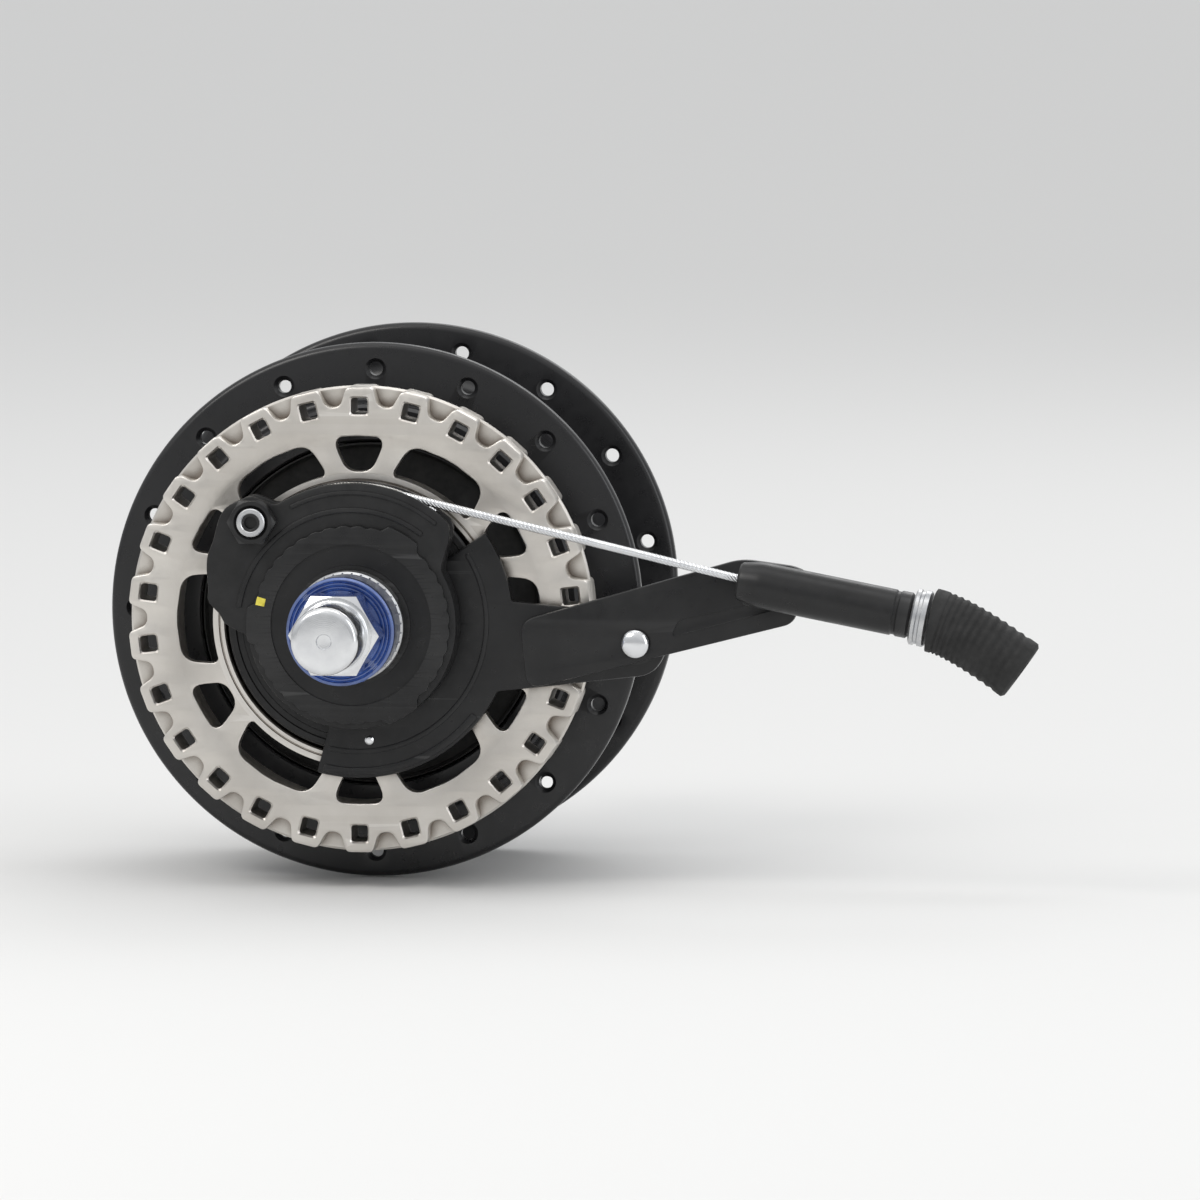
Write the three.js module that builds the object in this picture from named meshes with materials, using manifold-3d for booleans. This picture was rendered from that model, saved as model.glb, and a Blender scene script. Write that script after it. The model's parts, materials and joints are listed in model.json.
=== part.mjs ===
// Internally geared bicycle hub: eight speeds, belt sprocket, cable-operated cassette joint and
// splined rotor seat.
// Millimetres. The axle lies along Y through the origin, which is midway between the two dropout faces.
// -Y is the drive side, +X is forward on the bicycle and +Z is up.
import * as THREE from 'three';
import { mergeVertices } from 'three/addons/utils/BufferGeometryUtils.js';
import Module from 'manifold-3d';

const wasm = await Module();
wasm.setup();

// ---------------------------------------------------------------- driving dimensions

const GAP = 0.3;                    // clearance left between pieces that touch on the real hub
const DROPOUT_FACE = 67.5;          // half of the 135 mm over-locknut width
const DROPOUT_THICKNESS = 7;        // frame plate that goes between lock nut and washer
const AXLE_LENGTH = 187;
const AXLE_RADIUS = 4.9;
const AXLE_FLAT = 4.2;              // half of the distance across the axle's two flats
const THREAD_BORE = AXLE_RADIUS + GAP;

const FLANGE_RADIUS = 51.5;
const FLANGE_THICKNESS = 3.4;
const LEFT_FLANGE_Y = 31;
const RIGHT_FLANGE_Y = -26;
const SPOKE_CIRCLE_RADIUS = 46.5;
const SPOKES_PER_FLANGE = 16;
const SPOKE_HOLE_RADIUS = 1.45;
const BARREL_RADIUS = 38.5;
const SHELL_BORE = 33;
const ROTOR_SEAT_Y = 37;
const ROTOR_SPLINE_RADIUS = 16.9;

const SPROCKET_TEETH = 26;
const BELT_PITCH = 11;
const SPROCKET_PITCH_RADIUS = SPROCKET_TEETH * BELT_PITCH / (2 * Math.PI);
const TOOTH_TIP_RADIUS = SPROCKET_PITCH_RADIUS - 0.9;
const TOOTH_FLOOR_RADIUS = 41;
const SPROCKET_RIM_RADIUS = 34.5;
const SPROCKET_ARMS = 6;
const ARM_ROOT_RADIUS = 28.2;
const BELT_LINE_Y = -46;
const SPROCKET_WIDTH = 10;
const FIN_WIDTH = 1.5;
const MUD_PORT_SIZE = 3.2;
const MUD_PORT_RADIUS = 40.95;
const SPROCKET_ARM_THICKNESS = 3;
const SPROCKET_WALL_INNER = 25.8;
const SPROCKET_WEB_Y = [-47.4, -44.4];
const FIRST_TOOTH_ANGLE = 270;
const TOOTH_FLOOR_SHARE = 0.37;     // half-widths of a tooth's foot and tip, as shares of one tooth step
const TOOTH_TIP_SHARE = 0.24;

const PLANETS = 3;
const STAGE_1 = { module: 1.3, sun: 24, sunStep: 7, ringStep: 11, ring: 42 };
const STAGE_2 = { module: 1.05, suns: [21, 27, 30], sunSteps: [18, 12, 9], ringStep: 9, ring: 48 };
const PLANET_PIN_RADIUS = 1.7;

const PULLEY_GROOVE_RADIUS = 25;
const PULLEY_SMALL_RADIUS = 20;
const CABLE_RADIUS = 0.8;
const CABLE_TANGENT_ANGLE = 78;     // degrees from +X towards +Z, where the cable leaves the pulley
const CLAMP_ANGLE = 134;
const CLAMP_RADIUS = 27.2;
const CLAMP_BOLT_RADIUS = 2.5;

const SIDES = 20;                   // facets round a small turned piece
const LARGE_SIDES = 32;             // facets round the shell and the sprocket

// ---------------------------------------------------------------- finishes

const finish = (color, metalness, roughness) => ({ color, metalness, roughness });
const BLACK_SATIN = finish(0x17181a, 0.4, 0.45);
const BLACK_STEEL = finish(0x222325, 0.7, 0.5);
const BLACK_PLASTIC = finish(0x121213, 0.0, 0.6);
const BLACK_RUBBER = finish(0x0d0d0d, 0.0, 0.9);
const CHROME = finish(0xd9dce0, 1.0, 0.15);
const ZINC = finish(0xa9adb2, 0.9, 0.35);
const BLASTED_STEEL = finish(0xcfc6b8, 0.9, 0.5);
const BLUE_PLATE = finish(0x2347a8, 0.6, 0.35);
const GREEN_PLATE = finish(0x3c7a4a, 0.6, 0.4);
const GEAR_STEEL = finish(0x8d9196, 0.9, 0.35);
const CARRIER_STEEL = finish(0x6f757c, 0.9, 0.45);
const BEARING_STEEL = finish(0xc8ccd2, 1.0, 0.2);

// ---------------------------------------------------------------- solids

const radians = (degrees) => degrees * Math.PI / 180;
const polar = (radius, degrees) => [radius * Math.cos(radians(degrees)), radius * Math.sin(radians(degrees))];

function signedVolume(positions, index) {
  const a = new THREE.Vector3();
  const b = new THREE.Vector3();
  const c = new THREE.Vector3();
  let six = 0;
  for (let i = 0; i < index.length; i += 3) {
    a.fromArray(positions, 3 * index[i]);
    b.fromArray(positions, 3 * index[i + 1]);
    c.fromArray(positions, 3 * index[i + 2]);
    six += a.dot(b.cross(c));
  }
  return six / 6;
}

// A three.js geometry as a manifold solid: vertices merged, empty triangles dropped, faces pointing out.
function solid(geometry) {
  const bare = geometry.clone();
  bare.deleteAttribute('normal');
  bare.deleteAttribute('uv');
  const merged = mergeVertices(bare, 1e-4);
  const kept = [];
  const index = merged.index.array;
  for (let i = 0; i < index.length; i += 3) {
    const [a, b, c] = [index[i], index[i + 1], index[i + 2]];
    if (a !== b && b !== c && c !== a) kept.push(a, b, c);
  }
  const positions = merged.attributes.position.array;
  if (signedVolume(positions, kept) < 0) {
    for (let i = 0; i < kept.length; i += 3) [kept[i], kept[i + 1]] = [kept[i + 1], kept[i]];
  }
  const vertProperties = Float32Array.from(positions);
  const triVerts = Uint32Array.from(kept);
  return new wasm.Manifold(new wasm.Mesh({ numProp: 3, vertProperties, triVerts }));
}

// A body of revolution about the axle: points are [radius, y] around a closed profile.
function turned(points, segments = SIDES) {
  const profile = [...points, points[0]].map(([radius, y]) => new THREE.Vector2(radius, y));
  return solid(new THREE.LatheGeometry(profile, segments));
}

// A plain ring about the axle.
function ring(inner, outer, yLow, yHigh, segments = SIDES) {
  return turned([[inner, yLow], [outer, yLow], [outer, yHigh], [inner, yHigh]], segments);
}

// A closed outline of [x, z] points, with holes, made into a plate between two y planes.
function plate(outline, yLow, yHigh, holes = []) {
  const toVectors = (points) => points.map(([x, z]) => new THREE.Vector2(x, z));
  const shape = new THREE.Shape(toVectors(outline));
  holes.forEach((hole) => shape.holes.push(new THREE.Path(toVectors(hole))));
  const geometry = new THREE.ExtrudeGeometry(shape, { depth: yHigh - yLow, bevelEnabled: false });
  return solid(geometry.rotateX(Math.PI / 2).translate(0, yHigh, 0));
}

function circle(radius, count, centre = [0, 0], turn = 0) {
  const points = [];
  for (let i = 0; i < count; i += 1) {
    const [x, z] = polar(radius, turn + i * 360 / count);
    points.push([centre[0] + x, centre[1] + z]);
  }
  return points;
}

// Points of an arc about the axle from one angle to another, both included.
function arc(radius, from, to, steps) {
  const points = [];
  for (let i = 0; i <= steps; i += 1) points.push(polar(radius, from + (to - from) * i / steps));
  return points;
}

// A round bar with its axis along Y.
function pin(radius, yLow, yHigh, centre = [0, 0], sides = 16) {
  return plate(circle(radius, sides, centre, 180 / sides), yLow, yHigh);
}

// A round rod along a curve, in a number of straight steps.
function rodAlong(path, radius, steps, sides) {
  const section = new THREE.Shape(circle(radius, sides).map(([x, z]) => new THREE.Vector2(x, z)));
  return solid(new THREE.ExtrudeGeometry(section, { steps, bevelEnabled: false, extrudePath: path }));
}

// A round rod along the straight line between two points.
function rod(radius, from, to, sides = 12) {
  const path = new THREE.LineCurve3(new THREE.Vector3(...from), new THREE.Vector3(...to));
  return rodAlong(path, radius, 1, sides);
}

const joined = (first, ...others) => others.reduce((sum, piece) => sum.add(piece), first);
const cut = (first, ...others) => others.reduce((rest, piece) => rest.subtract(piece), first);

function aroundAxle(piece, count, turn = 0) {
  const copies = [];
  for (let i = 0; i < count; i += 1) copies.push(piece.rotate([0, turn + i * 360 / count, 0]));
  return copies;
}

// ---------------------------------------------------------------- the scene graph

const group = new THREE.Group();

function add(name, manifold, look) {
  const { vertProperties, triVerts } = manifold.getMesh();
  const geometry = new THREE.BufferGeometry();
  geometry.setAttribute('position', new THREE.BufferAttribute(vertProperties, 3));
  geometry.setIndex(new THREE.BufferAttribute(triVerts, 1));
  const mesh = new THREE.Mesh(geometry, new THREE.MeshStandardMaterial(look));
  mesh.name = name;
  group.add(mesh);
  return mesh;
}

// ---------------------------------------------------------------- axle and fasteners

// The axle's cross-section: a circle with two parallel flats.
function axleOutline(radius, flat, sides = 24) {
  return circle(radius, sides, [0, 0], 180 / sides)
    .map(([x, z]) => [Math.max(-flat, Math.min(flat, x)), z]);
}

add('axle', plate(axleOutline(AXLE_RADIUS, AXLE_FLAT), -AXLE_LENGTH / 2, AXLE_LENGTH / 2), CHROME);

const LOCK_NUT_RADIUS = 10.6;
const LOCK_NUT_FLAT = 9.2;
const LOCK_NUT_COLLAR = 1.6;
const WASHER_INNER_Y = DROPOUT_FACE + DROPOUT_THICKNESS + GAP;
const WASHER_THICKNESS = 2.6;
const WASHER_RADIUS = 10.3;
const NUT_FOOT_Y = WASHER_INNER_Y + WASHER_THICKNESS + GAP;
const NUT_HEX_HEIGHT = 9;
const NUT_HEX_RADIUS = 8.66;        // corner radius of a 15 mm hexagon
const DOME_RADIUS = 6.45;
const DOME_HEIGHT = 12.4;

// side is -1 on the drive side and +1 on the left side; y runs outboard from the origin.
function mirrored(profile, side) {
  return profile.map(([radius, y]) => [radius, side * y]);
}

// The lower and the higher y of a piece that lies between two distances outboard.
function between(side, inner, outer) {
  return side < 0 ? [-outer, -inner] : [inner, outer];
}

function capNut(side) {
  const hexEnd = NUT_FOOT_Y + NUT_HEX_HEIGHT;
  const domeEnd = hexEnd + DOME_HEIGHT;
  const hexagon = plate(circle(NUT_HEX_RADIUS, 6), ...between(side, NUT_FOOT_Y, hexEnd));
  const dome = turned(mirrored([
    [0, hexEnd - 1], [DOME_RADIUS, hexEnd - 1], [DOME_RADIUS, domeEnd - 1.4],
    [DOME_RADIUS - 1.2, domeEnd], [0, domeEnd],
  ], side));
  const boreEnd = AXLE_LENGTH / 2 + GAP;
  const bore = turned(mirrored([
    [0, NUT_FOOT_Y - 1], [THREAD_BORE, NUT_FOOT_Y - 1], [THREAD_BORE, boreEnd], [0, boreEnd],
  ], side));
  return cut(joined(hexagon, dome), bore);
}

// A non-turn washer: a round plate with a flatted bore and a tab that goes down into the dropout's slot.
function nonTurnWasher(side) {
  const [low, high] = between(side, WASHER_INNER_Y, WASHER_INNER_Y + WASHER_THICKNESS);
  const tabSpan = between(side, DROPOUT_FACE + 2.6, WASHER_INNER_Y + 1);
  const disc = plate(circle(WASHER_RADIUS, 28), low, high);
  const tab = plate([[-4.6, -9.6], [4.6, -9.6], [4.6, -6], [-4.6, -6]], ...tabSpan);
  const bore = plate(axleOutline(AXLE_RADIUS + GAP, AXLE_FLAT + GAP), low - 10, high + 10);
  return cut(joined(disc, tab), bore);
}

// A lock nut is round where it meets the dropout and has two spanner flats further in.
function lockNut(side, innerY) {
  const body = plate(circle(LOCK_NUT_RADIUS, SIDES), ...between(side, innerY, DROPOUT_FACE));
  const bore = pin(THREAD_BORE, -DROPOUT_FACE - 1, DROPOUT_FACE + 1, [0, 0], 24);
  const flatSpan = between(side, innerY - 1, DROPOUT_FACE - LOCK_NUT_COLLAR);
  const spannerFlats = [-1, 1].map((way) => plate([
    [way * LOCK_NUT_FLAT, -12], [way * 12, -12], [way * 12, 12], [way * LOCK_NUT_FLAT, 12],
  ], ...flatSpan));
  return cut(body, bore, ...spannerFlats);
}

const RIGHT_LOCK_NUT_INNER_Y = 62.8;
const LEFT_LOCK_NUT_INNER_Y = 61.2;
add('right_lock_nut', lockNut(-1, RIGHT_LOCK_NUT_INNER_Y), ZINC);
add('left_lock_nut', lockNut(1, LEFT_LOCK_NUT_INNER_Y), ZINC);
add('right_non_turn_washer', nonTurnWasher(-1), BLUE_PLATE);
add('left_non_turn_washer', nonTurnWasher(1), GREEN_PLATE);
add('right_cap_nut', capNut(-1), CHROME);
add('left_cap_nut', capNut(1), CHROME);

// ---------------------------------------------------------------- bearings

const RACE_CLEARANCE = 0.45;        // room round a ball, which also covers the facets of the race
const LEFT_BALL = { radius: 2.4, circle: 11.6, count: 9, y: 41.5 };
const RIGHT_BALL = { radius: 2.4, circle: 27, count: 12, y: -27.5 };
const DRIVER_BALL = { radius: 1.9, circle: 11.2, count: 9, y: -44.5 };

// Balls held in a thin cage ring. The cage crosses every ball, so the whole bearing row is one piece.
function ballRow({ radius, circle: circleRadius, count, y }) {
  const ball = solid(new THREE.SphereGeometry(radius, 5, 3)).translate([circleRadius, y, 0]);
  const cage = ring(circleRadius - 0.6, circleRadius + 0.6, y - 0.6, y + 0.6, count);
  return joined(cage, ...aroundAxle(ball, count));
}

// The ring-shaped space that a row of balls runs in, cut out of the races on both sides of it.
function raceGroove({ radius, circle: circleRadius, y }) {
  return turned(circle((radius + RACE_CLEARANCE) / Math.cos(Math.PI / 6), 6, [circleRadius, y], 30));
}

add('left_ball_retainer', ballRow(LEFT_BALL), BEARING_STEEL);
add('right_ball_retainer', ballRow(RIGHT_BALL), BEARING_STEEL);
add('driver_ball_retainer', ballRow(DRIVER_BALL), BEARING_STEEL);

const LEFT_CONE_END = 55;
const leftCone = turned([
  [THREAD_BORE, 37.6], [8.6, 37.6], [11.2, 42], [11.2, 45.4],
  [9.6, 45.4], [9.6, LEFT_CONE_END], [THREAD_BORE, LEFT_CONE_END],
]);
add('left_cone', cut(leftCone, raceGroove(LEFT_BALL)), ZINC);
add('left_ball_cup', cut(ring(12.6, 15.3, 37.6, 45.2), raceGroove(LEFT_BALL)), BEARING_STEEL);
add('left_dust_cap', turned([
  [9.9, 46], [15.6, 46], [16.2, 46.8], [16.2, 49.4], [13.4, 51.6], [9.9, 51.6],
]), BLACK_SATIN);
add('left_spacer', ring(THREAD_BORE, 8.6, LEFT_CONE_END + GAP, LEFT_LOCK_NUT_INNER_Y - GAP), ZINC);

// The control sleeve turns with the pulley and runs under the right cone to the sun gears' pawls.
const SLEEVE_OUTER = 6.6;
const RIGHT_CONE_END = -53.7;
const RIGHT_CONE_RADIUS = 9.8;
const rightCone = turned([
  [SLEEVE_OUTER + GAP, RIGHT_CONE_END], [RIGHT_CONE_RADIUS, RIGHT_CONE_END],
  [RIGHT_CONE_RADIUS, -47], [10.2, -46], [8.2, -41.4], [SLEEVE_OUTER + GAP, -41.4],
]);
add('right_cone', cut(rightCone, raceGroove(DRIVER_BALL)), ZINC);
add('right_ball_cup', cut(ring(28.2, SHELL_BORE - GAP, -31.5, -23.5), raceGroove(RIGHT_BALL)), BEARING_STEEL);
add('shell_dust_seal', ring(26.2, SHELL_BORE - GAP, -33.2, -31.8), BLACK_RUBBER);

// ---------------------------------------------------------------- gear teeth

const ADDENDUM = 0.85;              // in modules, a little short so that tips run clear
const DEDENDUM = 1.2;
const BACKLASH = 0.26;              // thinning of each tooth at the pitch circle, in modules

// The outline of a spur gear about a centre. phase, in degrees, is where the first tooth points.
function gearOutline(teeth, module, phase = 0, centre = [0, 0], inside = false) {
  const pitchRadius = teeth * module / 2;
  const outward = inside ? -1 : 1;
  const tip = pitchRadius + outward * ADDENDUM * module;
  const root = pitchRadius - outward * DEDENDUM * module;
  const halfPitch = (Math.PI / 2 - BACKLASH) * module / 2;
  const slope = Math.tan(radians(20));
  const halfTip = halfPitch - ADDENDUM * module * slope;
  const halfRoot = halfPitch + DEDENDUM * module * slope * (inside ? 1 : 0.55);
  const points = [];
  for (let i = 0; i < teeth; i += 1) {
    const middle = phase + i * 360 / teeth;
    const rootAngle = halfRoot / root * 180 / Math.PI;
    const tipAngle = halfTip / tip * 180 / Math.PI;
    points.push(polar(root, middle - rootAngle), polar(tip, middle - tipAngle));
    points.push(polar(tip, middle + tipAngle), polar(root, middle + rootAngle));
  }
  return points.map(([x, z]) => [x + centre[0], z + centre[1]]);
}

const centreDistance = (module, sun, step) => module * (sun + step) / 2;
const CENTRE_1 = centreDistance(STAGE_1.module, STAGE_1.sun, STAGE_1.sunStep);
const CENTRE_2 = centreDistance(STAGE_2.module, STAGE_2.suns[0], STAGE_2.sunSteps[0]);
const planetAngle = (index) => 90 + index * 360 / PLANETS;

// A sun has a gap, and a ring has a tooth space, facing every planet; the planet's step has a tooth there.
const sunPhase = (teeth) => 90 + 180 / teeth;
const ringPhase = (teeth) => 90 + 180 / teeth;

function sunGear(teeth, module, yLow, yHigh, bore) {
  return plate(gearOutline(teeth, module, sunPhase(teeth)), yLow, yHigh, [circle(bore, 24)]);
}

const RING_GEAR_OUTER = 30.6;

function ringGear({ ring: teeth, module }, phase, [yLow, yHigh]) {
  const toothedHole = gearOutline(teeth, module, phase, [0, 0], true);
  return plate(circle(RING_GEAR_OUTER, LARGE_SIDES), yLow, yHigh, [toothedHole]);
}

// A stepped planet. Each step is [teeth, yLow, yHigh, outwards]: a step that meets the sun has a tooth
// towards the axle, and one that meets only the ring has a tooth away from it.
function steppedPlanet(module, centre, angle, steps) {
  const middle = polar(centre, angle);
  const gears = steps.map(([teeth, yLow, yHigh, outwards]) => {
    return plate(gearOutline(teeth, module, outwards ? angle : angle + 180, middle), yLow, yHigh);
  });
  const fewestTeeth = Math.min(...steps.map(([teeth]) => teeth));
  const hubRadius = (fewestTeeth / 2 - DEDENDUM) * module - 0.15;
  const lowest = Math.min(...steps.map(([, yLow]) => yLow));
  const highest = Math.max(...steps.map(([, , yHigh]) => yHigh));
  const hub = pin(hubRadius, lowest + 1, highest - 1, middle, 10);
  return cut(joined(...gears, hub), pin(PLANET_PIN_RADIUS + GAP, lowest - 1, highest + 1, middle, 8));
}

// ---------------------------------------------------------------- stage 1, the reduction on the drive side

const STAGE_1_RING_Y = [-18, -13];
const STAGE_1_SUN_Y = [-12.7, -7.8];
const FREE_SUN_BORE = 7;
const PAWL_SUN_BORE = 8.8;          // a sun that its pawl can lock to the axle has a wider bore

add('sun_gear_1', sunGear(STAGE_1.sun, STAGE_1.module, ...STAGE_1_SUN_Y, PAWL_SUN_BORE), GEAR_STEEL);
for (let i = 0; i < PLANETS; i += 1) {
  const steps = [
    [STAGE_1.ringStep, ...STAGE_1_RING_Y, true],
    [STAGE_1.sunStep, ...STAGE_1_SUN_Y, false],
  ];
  add(`stage_1_planet_${i + 1}`, steppedPlanet(STAGE_1.module, CENTRE_1, planetAngle(i), steps), GEAR_STEEL);
}

// A planet carrier: two plates, three planet pins and three posts between the planets.
function carrier(centre, yLow, yHigh, plateThickness, bore, outer, postCentre, postRadius) {
  const plates = [[yLow, yLow + plateThickness], [yHigh - plateThickness, yHigh]]
    .map(([low, high]) => ring(bore, outer, low, high));
  const pins = [];
  const posts = [];
  for (let i = 0; i < PLANETS; i += 1) {
    pins.push(pin(PLANET_PIN_RADIUS, yLow + 0.5, yHigh - 0.5, polar(centre, planetAngle(i)), 8));
    posts.push(pin(postRadius, yLow + 0.5, yHigh - 0.5, polar(postCentre, planetAngle(i) + 60), 6));
  }
  return joined(...plates, ...pins, ...posts);
}

const CARRIER_1_Y = [STAGE_1_RING_Y[0] - 2.6, STAGE_1_SUN_Y[1] + 2.6];
const CARRIER_PLATE = 2.3;
add('stage_1_carrier', carrier(CENTRE_1, ...CARRIER_1_Y, CARRIER_PLATE, 8.2, 25, 21.2, 2.4), CARRIER_STEEL);

// ---------------------------------------------------------------- stage 2, the three-step overdrive

const STAGE_2_STEP = 5;
const STAGE_2_START = -2.3;
const stage2Step = (index) => [
  STAGE_2_START + index * (STAGE_2_STEP + GAP),
  STAGE_2_START + index * (STAGE_2_STEP + GAP) + STAGE_2_STEP,
];
// From drive side to left: the 9-tooth step, which meets both the ring and the largest sun side by side,
// then the steps for the two smaller suns.
const STAGE_2_RING_Y = stage2Step(0);
const STAGE_2_SUN_Y = [stage2Step(3), stage2Step(2), stage2Step(1)];
const SUN_NAMES = ['sun_gear_2', 'sun_gear_3', 'sun_gear_4'];

STAGE_2.suns.forEach((teeth, index) => {
  const bore = SUN_NAMES[index] === 'sun_gear_4' ? PAWL_SUN_BORE : FREE_SUN_BORE;
  add(SUN_NAMES[index], sunGear(teeth, STAGE_2.module, ...STAGE_2_SUN_Y[index], bore), GEAR_STEEL);
});
const stage2Steps = STAGE_2.sunSteps.map((teeth, index) => {
  const low = teeth === STAGE_2.ringStep ? STAGE_2_RING_Y[0] : STAGE_2_SUN_Y[index][0];
  return [teeth, low, STAGE_2_SUN_Y[index][1], false];
});
for (let i = 0; i < PLANETS; i += 1) {
  const planet = steppedPlanet(STAGE_2.module, CENTRE_2, planetAngle(i), stage2Steps);
  add(`stage_2_planet_${i + 1}`, planet, GEAR_STEEL);
}
const CARRIER_2_Y = [STAGE_2_RING_Y[0] - 2.6, STAGE_2_SUN_Y[0][1] + 2.6];
add('stage_2_carrier', carrier(CENTRE_2, ...CARRIER_2_Y, CARRIER_PLATE, 8.2, 26, 21.4, 2.2), CARRIER_STEEL);

// The long step has a tooth towards the axle and, having an odd number of teeth, a gap away from it,
// so the second ring gear has a tooth there.
add('ring_gear_1', ringGear(STAGE_1, ringPhase(STAGE_1.ring), STAGE_1_RING_Y), GEAR_STEEL);
add('ring_gear_2', ringGear(STAGE_2, planetAngle(0), STAGE_2_RING_Y), GEAR_STEEL);

// A pawl between the control sleeve and the bore of the sun gear that it locks.
function sunPawl([yLow, yHigh], angle) {
  const back = arc(PAWL_SUN_BORE - 0.4, angle, angle + 45, 5);
  const belly = arc(SLEEVE_OUTER + GAP, angle + 40, angle, 5);
  return plate([...back, ...belly], yLow + 0.6, yHigh - 0.6);
}
add('sun_1_pawl', sunPawl(STAGE_1_SUN_Y, 60), BEARING_STEEL);
add('sun_4_pawl', sunPawl(STAGE_2_SUN_Y[2], 60), BEARING_STEEL);

// The one-way roller clutch between the output ring gear and the shell.
const CLUTCH_ROLLERS = 6;
const CLUTCH_CIRCLE = 31.8;
const clutchRoller = pin(0.85, STAGE_2_RING_Y[0] + 0.4, STAGE_2_RING_Y[1] - 0.4, [CLUTCH_CIRCLE, 0], 6);
const clutchCage = ring(CLUTCH_CIRCLE - 0.35, CLUTCH_CIRCLE + 0.35, -0.6, 1);
add('roller_clutch', joined(clutchCage, ...aroundAxle(clutchRoller, CLUTCH_ROLLERS)), BEARING_STEEL);

// ---------------------------------------------------------------- hub shell

const flangeEdge = FLANGE_THICKNESS / 2;
const shellBody = turned([
  [SHELL_BORE, -33.4], [40, -33.4], [40.6, RIGHT_FLANGE_Y - flangeEdge],
  [FLANGE_RADIUS, RIGHT_FLANGE_Y - flangeEdge], [FLANGE_RADIUS, RIGHT_FLANGE_Y + flangeEdge],
  [41.6, RIGHT_FLANGE_Y + flangeEdge], [BARREL_RADIUS, -18],
  [BARREL_RADIUS, 22], [41.6, LEFT_FLANGE_Y - flangeEdge],
  [FLANGE_RADIUS, LEFT_FLANGE_Y - flangeEdge], [FLANGE_RADIUS, LEFT_FLANGE_Y + flangeEdge],
  [37, LEFT_FLANGE_Y + flangeEdge], [29, 34.6], [22, ROTOR_SEAT_Y], [ROTOR_SPLINE_RADIUS, ROTOR_SEAT_Y],
  [ROTOR_SPLINE_RADIUS, 45.4], [15.6, 45.4], [15.6, 35.6], [18, 33.6], [27, 30.4], [SHELL_BORE, 26],
], LARGE_SIDES);

function spokeHoles(flangeY, turn) {
  const hole = pin(SPOKE_HOLE_RADIUS, flangeY - 3, flangeY + 3, [SPOKE_CIRCLE_RADIUS, 0], 4);
  return aroundAxle(hole, SPOKES_PER_FLANGE, turn);
}
const halfSpokeStep = 180 / SPOKES_PER_FLANGE;
const allSpokeHoles = [...spokeHoles(RIGHT_FLANGE_Y, 0), ...spokeHoles(LEFT_FLANGE_Y, halfSpokeStep)];
add('hub_shell', cut(shellBody, ...allSpokeHoles), BLACK_SATIN);

// ---------------------------------------------------------------- driver and sprocket

const DRIVER_RADIUS = 17.4;
const DRIVER_END = -50.2;
const SNAP_RING_Y = -48.5;
const driverBody = turned([
  [8, -20.9], [30.3, -20.9], [30.3, -23.2], [25.8, -23.2], [25.8, -32.6], [22, -34.6],
  [DRIVER_RADIUS, -35], [DRIVER_RADIUS, DRIVER_END], [12, DRIVER_END], [12, -40.6], [8, -40.6],
]);
const snapGroove = ring(16.2, DRIVER_RADIUS + 1, SNAP_RING_Y - 0.8, SNAP_RING_Y + 0.8);
add('driver', cut(driverBody, raceGroove(RIGHT_BALL), raceGroove(DRIVER_BALL), snapGroove), GEAR_STEEL);

const snapRing = [...arc(19.6, 110, 430, 16), ...arc(16.6, 430, 110, 16)];
add('sprocket_snap_ring', plate(snapRing, SNAP_RING_Y - 0.5, SNAP_RING_Y + 0.5), BLACK_STEEL);
add('driver_cap', turned([
  [12.6, -51.6], [25.2, -51.6], [25.2, -47.9], [24.2, -47.9], [24.2, -50.6], [12.6, -50.6],
]), BLACK_PLASTIC);

// Belt teeth: a flat land at the tip, sloping sides and a floor, repeated around the wheel.
function beltToothOutline() {
  const points = [];
  const step = 360 / SPROCKET_TEETH;
  for (let i = 0; i < SPROCKET_TEETH; i += 1) {
    const middle = FIRST_TOOTH_ANGLE + i * step;
    points.push(polar(TOOTH_FLOOR_RADIUS, middle - TOOTH_FLOOR_SHARE * step));
    points.push(polar(TOOTH_TIP_RADIUS, middle - TOOTH_TIP_SHARE * step));
    points.push(polar(TOOTH_TIP_RADIUS, middle + TOOTH_TIP_SHARE * step));
    points.push(polar(TOOTH_FLOOR_RADIUS, middle + TOOTH_FLOOR_SHARE * step));
  }
  return points;
}

// An arm is narrow at the inner ring and flares to the rim, so a window is the space between two arms.
function armWindow(middle) {
  const armHalfAngle = (halfWidth, radius) => Math.asin(halfWidth / radius) * 180 / Math.PI;
  const inner = 180 / SPROCKET_ARMS - armHalfAngle(6, ARM_ROOT_RADIUS);
  const outer = 180 / SPROCKET_ARMS - armHalfAngle(10, SPROCKET_RIM_RADIUS);
  return [
    ...arc(SPROCKET_RIM_RADIUS - 0.2, middle - outer, middle + outer, 2),
    ...arc(ARM_ROOT_RADIUS, middle + inner, middle - inner, 2),
  ];
}

// A rounded triangle in each arm, wide side outwards.
function armHole(angle) {
  const corners = [[33.2, -4.1], [33.9, -2.8], [33.9, 2.8], [33.2, 4.1], [28.7, 0.9], [28.7, -0.9]];
  return corners.map(([along, across]) => {
    const [ax, az] = polar(along, angle);
    const [cx, cz] = polar(across, angle + 90);
    return [ax + cx, az + cz];
  });
}

const beltLow = BELT_LINE_Y - SPROCKET_WIDTH / 2;
const beltHigh = BELT_LINE_Y + SPROCKET_WIDTH / 2;
const toothedRim = plate(beltToothOutline(), beltLow, beltHigh, [circle(SPROCKET_RIM_RADIUS, LARGE_SIDES)]);
const finY = [BELT_LINE_Y - FIN_WIDTH / 2, BELT_LINE_Y + FIN_WIDTH / 2];
const fin = ring(SPROCKET_RIM_RADIUS + 1, TOOTH_TIP_RADIUS, ...finY, SPROCKET_TEETH);

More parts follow.
